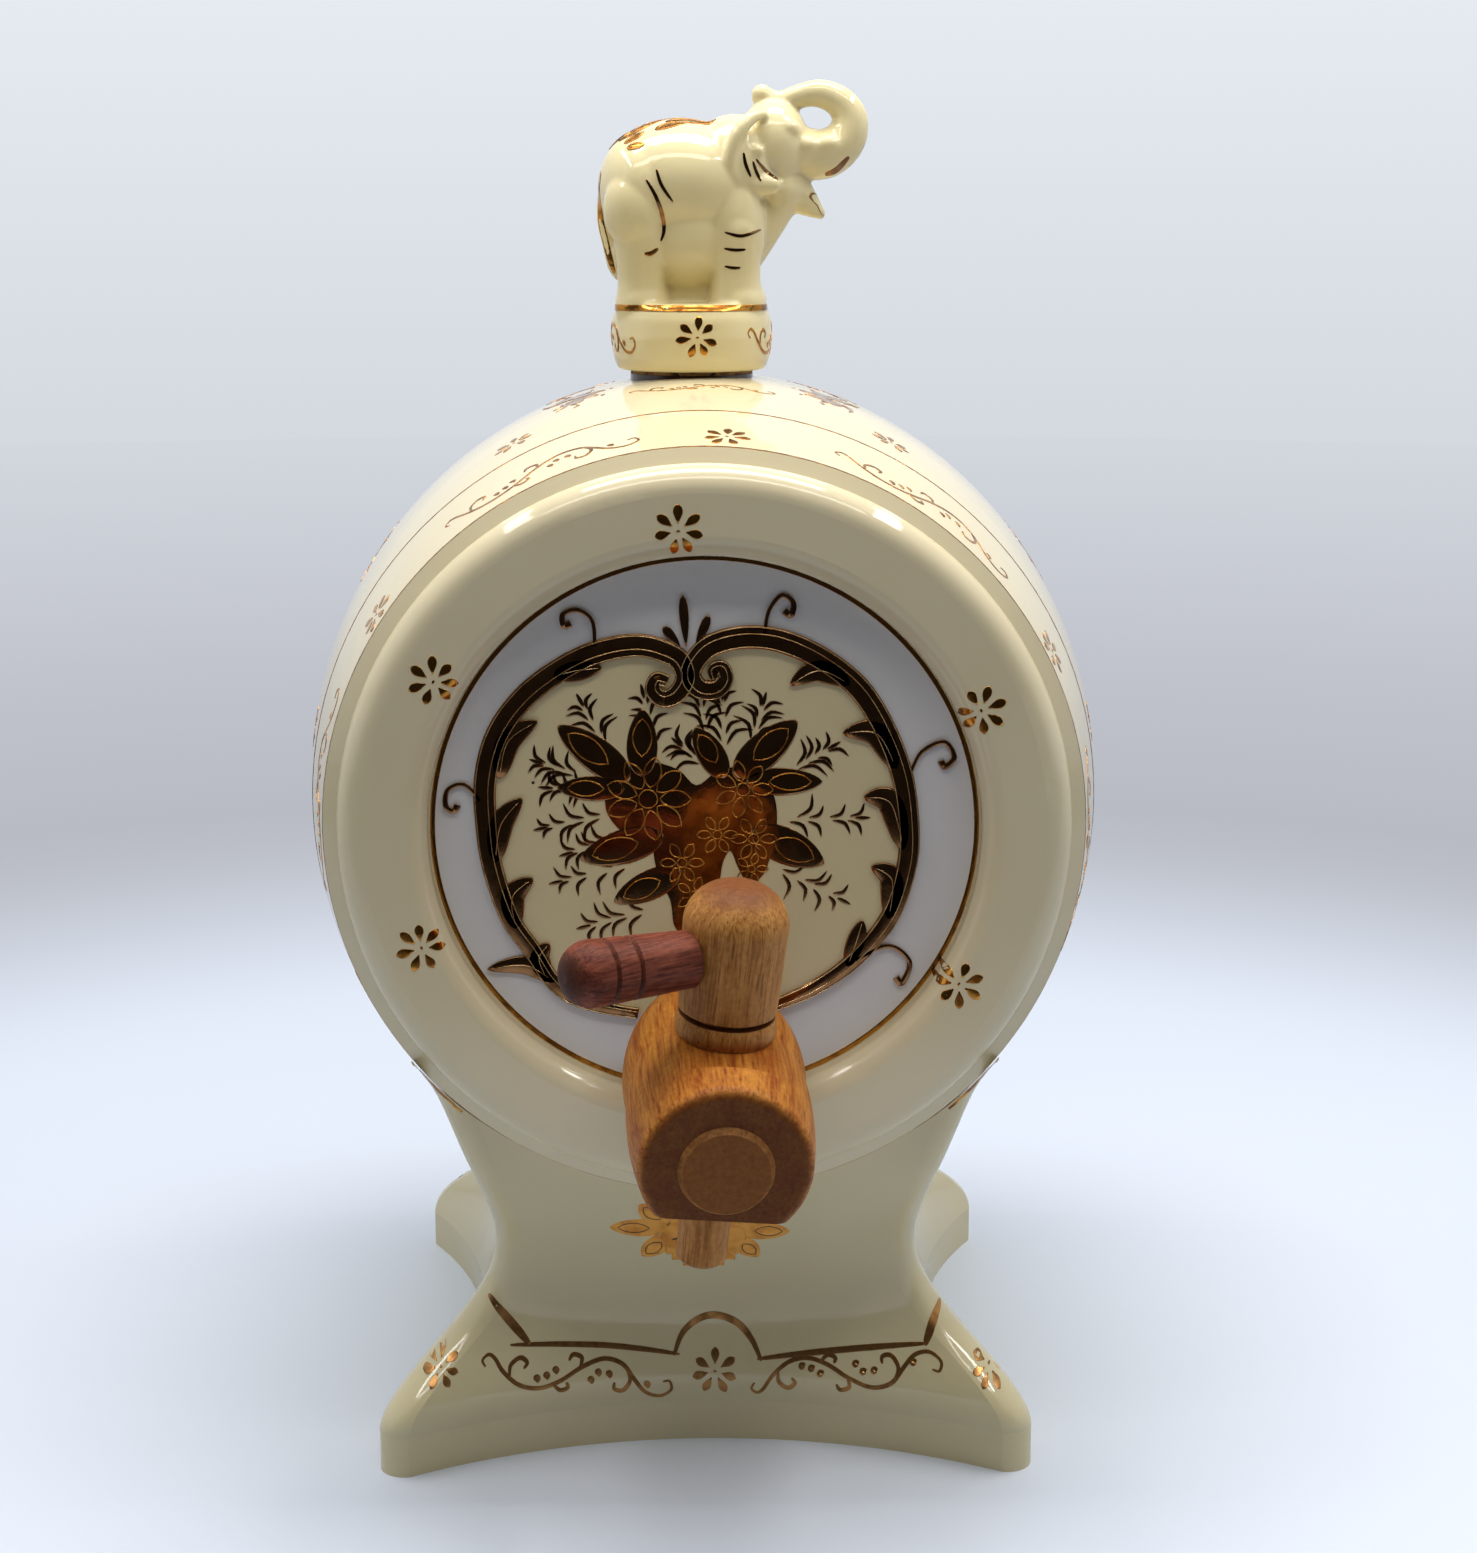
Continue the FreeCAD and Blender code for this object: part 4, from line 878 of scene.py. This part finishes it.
# elephant: modelled from rounded forms and limbs, run together like cast slip under glaze
elephantLook = {
    "seat": (-2.0, 0.0, 208.75), "voxel": 0.42, "softening": 0.5, "smooth": 9,
    "forms": (  # centre, half sizes, pitch and yaw in degrees
        ((-2.2, 0, 36.2), (16.2, 13.0, 12.6), 0, 0), ((-9.0, 0, 35.2), (9.4, 12.6, 11.6), 0, 0),
        ((-0.6, 0, 26.5), (11.0, 11.0, 11.5), 0, 0), ((7.6, 0, 30.2), (8.0, 10.6, 12.2), 0, 0),
        ((8.4, 5.6, 27.5), (6.2, 5.0, 11.5), 0, 0), ((8.6, 0, 39.5), (9.6, 9.9, 10.2), 0, 0),
        ((17.3, 0, 35.2), (5.4, 6.0, 4.8), 20, 0), ((16.2, 0, 43.8), (7.2, 8.0, 8.8), 0, 0),
        ((22.0, 0, 42.4), (5.6, 5.4, 4.8), 0, 0), ((19.0, 5.0, 46.8), (2.7, 2.2, 2.0), 25, 0),
        ((22.8, 4.2, 43.4), (2.6, 2.0, 2.0), 0, 0), ((27.0, 3.6, 43.6), (2.6, 2.0, 2.1), 0, 0),
        ((12.6, 6.6, 36.0), (5.2, 2.4, 2.4), 0, 10), ((-11.0, 8.0, 31.2), (6.2, 5.0, 8.0), 0, 0),
        ((-0.4, 0, 17.5), (9.4, 5.4, 8.6), 0, 0), ((-9.6, 3.4, 13.2), (5.6, 7.6, 5.6), 0, 0),
        ((9.4, 3.4, 13.2), (5.6, 7.6, 5.6), 0, 0), ((13.0, 8.7, 42.4), (1.2, 0.8, 1.1), 0, 0),
    ),
    "limbs": (  # points along each limb: ahead, side, height, radius
        ((-9.8, 5.2, 12.6, 5.4), (-9.8, 5.4, 18, 4.8), (-10, 6, 26, 5.6)),
        ((8.8, 5.2, 12.6, 5.5), (8.8, 5.3, 19, 4.9), (8.8, 5.6, 27, 5.4)),
        ((14.2, 6.6, 49.4, 0.8), (12.2, 8.0, 48.8, 1.2), (9.6, 9.3, 46.4, 1.5), (8.0, 9.7, 42.8, 1.4),
         (7.8, 9.6, 39.2, 1.0), (9.2, 9.0, 36.6, 0.8)),
        ((16.3, 0, 32.8, 4.8), (12.6, 0, 27.0, 4.8), (9.8, 0, 22.0, 4.4)),
        ((17, 0, 37.8, 4.9), (21.2, 0, 34.0, 3.6), (24, 0, 31.7, 2.2), (25.6, 0, 30.5, 1.2)),
        ((21, 0, 42.4, 5.1), (26.4, 0, 42.0, 4.9), (30.3, 0, 44.8, 4.3), (31.3, 0, 48.8, 3.6),
         (29.2, 0, 52.0, 3.1), (25.0, 0, 53.6, 2.7), (20.6, 0, 52.8, 2.3), (17.4, 0, 51.9, 2.1),
         (15.0, 0, 52.6, 2.1), (14.0, 0, 53.2, 2.2)),
        ((-16.4, 0, 39.2, 1.2), (-17.3, -0.8, 34, 1.2), (-17.4, -1.6, 29, 1.2), (-16.4, -2.4, 24.5, 1.2),
         (-15.2, -2.8, 20.5, 1.5), (-14.6, -2.8, 18.4, 0.9)),
    ),
    "base": (  # radius and height up the turned base
        (8.2, 8.2), (8.2, 0), (14.1, 0), (14.9, 0.5), (15.6, 2.5), (16.1, 6.5), (15.9, 10), (15.1, 12.4),
        (14.4, 13.2),
    ),
    "baseTop": 13.4,
}


def addForm(bm, centre, half, pitch, yaw):
    turn = Matrix.Rotation(math.radians(yaw), 4, "Z") @ Matrix.Rotation(math.radians(pitch), 4, "Y")
    place = Matrix.Translation(centre) @ turn @ Matrix.Diagonal((*half, 1))
    bmesh.ops.create_icosphere(bm, subdivisions=4, radius=1, matrix=place)


def addLimb(bm, points, around=20):
    line = smoothLine(points, 6)
    spots = [spot.to_3d() for spot in line]
    turns = [2 * math.pi * k / around for k in range(around)]
    rings = []
    for i, spot in enumerate(spots):
        along = (spots[min(i + 1, len(spots) - 1)] - spots[max(i - 1, 0)]).normalized()
        side = (Vector((0, 1, 0)) - along * along.y).normalized()
        other = along.cross(side)
        radius = line[i].w
        spokes = [(side * math.cos(a) + other * math.sin(a)) * radius for a in turns]
        rings.append([bm.verts.new(spot + spoke) for spoke in spokes])
    bridge(bm, rings, False)
    for end in (line[0], line[-1]):
        bmesh.ops.create_icosphere(bm, subdivisions=3, radius=end.w, matrix=Matrix.Translation(end.to_3d()))


def addBase(bm, profile, top, around=96):
    turns = [2 * math.pi * k / around for k in range(around)]
    rings = [[bm.verts.new((r * math.cos(a), r * math.sin(a), z)) for a in turns] for r, z in profile]
    for one, other in zip(rings, rings[1:]):
        for k in range(around):
            n = (k + 1) % around
            bm.faces.new((one[k], other[k], other[n], one[n]))
    for ring, height in ((rings[0], profile[0][1]), (rings[-1], top)):
        hub = bm.verts.new((0, 0, height))
        for k in range(around):
            bm.faces.new((ring[k], ring[(k + 1) % around], hub))


bm = bmesh.new()
for (x, y, z), half, pitch, yaw in elephantLook["forms"]:
    for side in ((1, -1) if y else (1,)):
        addForm(bm, (x, y * side, z), half, pitch, yaw * side)
for points in elephantLook["limbs"]:
    for side in ((1, -1) if points[0][1] else (1,)):
        addLimb(bm, [(x, y * side, z, r) for x, y, z, r in points])
addBase(bm, elephantLook["base"], elephantLook["baseTop"])
bmesh.ops.recalc_face_normals(bm, faces=bm.faces)
bmesh.ops.scale(bm, vec=(mm, mm, mm), verts=bm.verts)
bmesh.ops.translate(bm, vec=Vector(elephantLook["seat"]) * mm, verts=bm.verts)
figureMesh = bpy.data.meshes.new("elephant_figure")
bm.to_mesh(figureMesh)
bm.free()
elephant = bpy.data.objects.new("elephant_figure", figureMesh)
scene.collection.objects.link(elephant)
remesh = elephant.modifiers.new("run together", "REMESH")
remesh.mode = "VOXEL"
remesh.voxel_size = elephantLook["voxel"] * mm
soften = elephant.modifiers.new("glaze soften", "SMOOTH")
soften.factor = elephantLook["softening"]
soften.iterations = elephantLook["smooth"]
figureMesh = bpy.data.meshes.new_from_object(elephant.evaluated_get(bpy.context.evaluated_depsgraph_get()))
elephant.modifiers.clear()
elephant.data = figureMesh
figureMesh.shade_smooth()
print("elephant", len(figureMesh.polygons), "faces")

figureGlaze, tree, shader, spot, ivory, speck = glazedPorcelain("yellowIvoryGlaze", glazeLook["figure"])
finishGlaze(tree, shader, ivory, speck)
figureMesh.materials.clear()
figureMesh.materials.append(figureGlaze)
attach(elephant, "stopper")
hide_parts("stopper_elephant")

# gold touches on the elephant: haunch, lashes, mouth and knee lines on both sides, the tail, a worn
# gold saddle and a patterned base
touchLook = {
    "lift": 0.09, "lineRise": 0.06, "saddleFull": 1.3, "saddleLine": 0.3, "tailHalf": 0.7,
    "tailTurn": -20,  # the tail is sighted from a little behind
    "tail": ((-15.4, 38.6), (-16.0, 34), (-15.8, 29), (-14.6, 24.5), (-13.3, 20.5), (-12.8, 19.0)),
    "touches": (
        (((-8.7, 36.9), (-6.9, 33.8), (-5.7, 30.5), (-5.3, 27.4), (-5.9, 25.2)), 0.42),
        (((-6.7, 38.9), (-5.7, 35.8), (-3.5, 32.6)), 0.34),
        (((10.2, 42.0), (10.6, 39.8), (11.6, 37.4)), 0.34),
        (((12.0, 40.4), (12.7, 38.4), (13.6, 36.6)), 0.32),
        (((12.6, 40.8), (14.6, 38.6), (16.9, 36.9)), 0.32),
        (((26.4, 38.0), (28.6, 38.9), (31.0, 41.4)), 0.55), (((23.4, 34.2), (25.6, 32.6), (26.4, 30.2)), 1.0),
        (((6.5, 26.9), (9.8, 26.2), (13.6, 27.4)), 0.34), (((6.4, 23.8), (8.5, 23.5), (10.6, 23.6)), 0.32),
        (((6.5, 20.4), (8.0, 20.1), (9.6, 20.1)), 0.3),
    ),
    "gilding": ((((-9.1, 22.8), (-7.8, 22.9), (-6.5, 23.8)), 0.45),),
    "saddle": (
        ((-16.0, 0.5), (-8.0, -3.5), 2.6), ((-14.0, -4.0), (-5.0, -1.0), 2.2), ((-9.0, 3.0), (1.0, 0.5), 2.4),
        ((-5.0, -4.0), (5.0, -2.5), 1.9), ((-12.0, 4.5), (-3.0, 4.0), 1.8), ((-7.0, -6.5), (-1.0, -5.0), 1.2),
        ((-13.0, -6.5), (-9.0, -6.0), 1.0), ((-2.0, 4.0), (5.0, 2.0), 1.4),
        ((-12.4, -8.2), (-9.0, -9.0), 0.8),
    ),
    "baseRadius": 15.5, "baseLineHalf": 0.62, "baseLine": 12.4, "baseFlowerSize": 4.1,
    "baseFlowers": ((4, 6.9, 0), (184, 6.9, 0)), "baseScrollHalf": 0.42, "baseScrollScale": (0.66, 0.86, 1),
    "baseScrolls": ((90, 6.4, 0), (270, 6.4, 0)),
}
touchLift = touchLook["lift"]
fromSide = {"tilt": quarterTurn, "reach": 30, "depth": 32}
fromAbove = {"reach": 60, "depth": 26}
aroundBase = {"tilt": quarterTurn, "reach": 30, "depth": 22, "radius": touchLook["baseRadius"]}


def paintElephant(name, bm, lustre, mode, places, sighted):
    paint(name, "stopper", elephant, bm, lustre, mode, places, centre=elephantLook["seat"], **sighted)


# the elephant's touches are laid in the painted-shade copy of the gold
for name, turn, mirror in (("front", 0, 1), ("back", 180, -1)):
    for kind, lustre in (("touches", shadedGold), ("gilding", gold)):
        bm = bmesh.new()
        for points, half in touchLook[kind]:
            stroke(bm, smoothLine([(x * mirror, z) for x, z in points], 8), brushed(half), touchLift)
        paintElephant(f"elephant_{kind}_{name}", bm, lustre, "flat", [(turn, 0, 0)], fromSide)
tail = drawn(stroke, smoothLine(touchLook["tail"], 8), brushed(touchLook["tailHalf"]), touchLift)
paintElephant("elephant_tail", tail, gold, "flat", [(touchLook["tailTurn"], 0, 0)], fromSide)
saddle = bmesh.new()
saddleLines = bmesh.new()
lineLift = touchLift + touchLook["lineRise"]
for heel, tip, half in touchLook["saddle"]:
    stroke(saddle, smoothLine([heel, tip], 12), leafy(half), touchLift)
    leafLoop(saddleLines, heel, tip, half * touchLook["saddleFull"], lineLift, first=0.04, last=0.96)
    stroke(saddleLines, smoothLine([heel, tip], 8), brushed(touchLook["saddleLine"]), lineLift)
paintElephant("elephant_saddle", saddle, brownGold, "flat", once, fromAbove)
paintElephant("elephant_saddle_lines", saddleLines, gold, "flat", once, fromAbove)
baseLine = drawn(ringLine, touchLook["baseRadius"], touchLook["baseLineHalf"], touchLift)
paintElephant("stopper_base_line", baseLine, gold, "round", [(0, touchLook["baseLine"], 0)], aroundBase)
baseFlower = drawn(flower, touchLook["baseFlowerSize"], touchLift, seed=21)
paintElephant("stopper_base_flowers", baseFlower, gold, "round", touchLook["baseFlowers"], aroundBase)
baseScroll = drawn(scroll, touchLift, half=touchLook["baseScrollHalf"])
bmesh.ops.scale(baseScroll, vec=touchLook["baseScrollScale"], verts=baseScroll.verts)
paintElephant("stopper_base_scrolls", baseScroll, gold, "round", touchLook["baseScrolls"], aroundBase)

# stage: a pale sweep in a light box with lamp strips round its top, open and dark towards the camera,
# so the gold on the front mirrors a dim room
stageLook = {
    "floor": "#C8D0E0", "floorSeen": "#DCE5F5", "floorRoughness": 0.6, "nearZone": (0.26, 0.52),
    "front": (-0.42, -0.26), "room": 0.05, "tent": 0.5, "walls": (-0.75, -0.25), "horizon": (-0.09, 0.1),
    # painted shade: the glowing sweep's tones darken in a band partway out and brighten again beyond,
    # standing in for the tent's light falling off
    "sweepTones": (
        (0.0, "#DDE2EC"), (0.25, "#D4D8E2"), (0.38, "#C4C7D0"), (0.48, "#B8BBC3"), (0.6, "#C0C3CB"),
        (0.81, "#D3D7DE"),
    ),
    "sweepReach": 2.5, "sweepMiddle": 0.6, "skyTone": "#E7EDF3", "lampTone": "#FFFAF3",
    "lamps": (  # name, place, size, turn about x and y in degrees, power
        ("topPanel", (0.0, 0.0, 0.78), (0.54, 0.2), (0, 0), 3.3),
        ("frontStrip", (0.0, -0.3, 0.62), (0.6, 0.07), (28, 0), 0.85),
        ("leftStrip", (-0.34, -0.02, 0.6), (0.05, 0.46), (0, -32), 0.8),
        ("rightStrip", (0.34, -0.02, 0.6), (0.05, 0.46), (0, 32), 1.2),
        ("roomFill", (0.0, -1.3, 0.8), (1.0, 1.0), (60, 0), 0.5),
    ),
}
sweepTones = [(place, linear(tone)) for place, tone in stageLook["sweepTones"]]


def sightedLevel(tree, level, front):  # full for the eye, dimmed at the front for mirrors, less as light
    rays = addNode(tree, "ShaderNodeLightPath").outputs
    mirrored = maths(tree, "MAXIMUM", rays["Is Glossy Ray"], rays["Is Transmission Ray"])
    dimmed = maths(tree, "MULTIPLY", spread(tree, mirrored, onto=(level, 1)), front)
    return maths(tree, "MAXIMUM", dimmed, rays["Is Camera Ray"])


floorMesh = bpy.data.meshes.new("floor")
bm = bmesh.new()
bmesh.ops.create_circle(bm, cap_ends=True, segments=96, radius=stageLook["sweepReach"])
bm.to_mesh(floorMesh)
bm.free()
floor = bpy.data.objects.new("floor", floorMesh)
scene.collection.objects.link(floor)
floorMaterial, tree, shader, seat = newMaterial("paleSweep")
away = vectors(tree, "LENGTH", seat["Object"], result="Value")
far = spread(tree, away, stageLook["nearZone"], smooth=True)
seen = addNode(tree, "ShaderNodeLightPath").outputs["Is Camera Ray"]
floorTone = mixTones(tree, seen, stageLook["floor"], stageLook["floorSeen"])
feed(tree, shader, {"Base Color": floorTone, "Roughness": stageLook["floorRoughness"]})
reach = maths(tree, "DIVIDE", away, maths(tree, "ADD", away, stageLook["sweepMiddle"]))
sweepTone = addNode(tree, "ShaderNodeValToRGB", {"Fac": reach})
ramp = sweepTone.color_ramp
for place, tone in sweepTones[1:]:
    ramp.elements.new(place).color = tone
ramp.elements[0].color = sweepTones[0][1]
ramp.elements[-1].color = sweepTones[-1][1]
ahead = parts(tree, seat["Object"])[1]
front = spread(tree, ahead, stageLook["front"], (stageLook["room"], 1), smooth=True)
strength = sightedLevel(tree, stageLook["tent"], front)
sweep = addNode(tree, "ShaderNodeEmission", {"Color": sweepTone.outputs[0], "Strength": strength}).outputs[0]
blend = addNode(tree, "ShaderNodeMixShader", {0: far, 1: shader.outputs[0], 2: sweep}).outputs[0]
feed(tree, tree.nodes["Material Output"], {"Surface": blend})
floorMesh.materials.append(floorMaterial)

world = bpy.data.worlds.new("tent")
world.use_nodes = True
scene.world = world
tree = world.node_tree
view = addNode(tree, "ShaderNodeTexCoord").outputs["Generated"]
_, towardY, towardZ = parts(tree, view)
walls = spread(tree, towardY, stageLook["walls"], (stageLook["room"], 1), smooth=True)
high = spread(tree, towardZ, stageLook["horizon"])
feed(tree, tree.nodes["Background"], {
    "Color": mixTones(tree, high, sweepTones[-1][1], stageLook["skyTone"]),
    "Strength": sightedLevel(tree, stageLook["tent"], walls),
})

for name, place, size, (overX, overY), power in stageLook["lamps"]:
    lampData = bpy.data.lights.new(name, "AREA")
    lampData.shape = "RECTANGLE"
    lampData.size, lampData.size_y = size
    lampData.energy = power
    lampData.color = linear(stageLook["lampTone"])[:3]
    lamp = bpy.data.objects.new(name, lampData)
    lamp.location = place
    lamp.rotation_euler = (math.radians(overX), math.radians(overY), 0)
    lamp.visible_glossy = name != "roomFill"  # the room's own soft light leaves no mark in the glaze
    scene.collection.objects.link(lamp)
scene.view_settings.view_transform = "Standard"
print("stage lit")
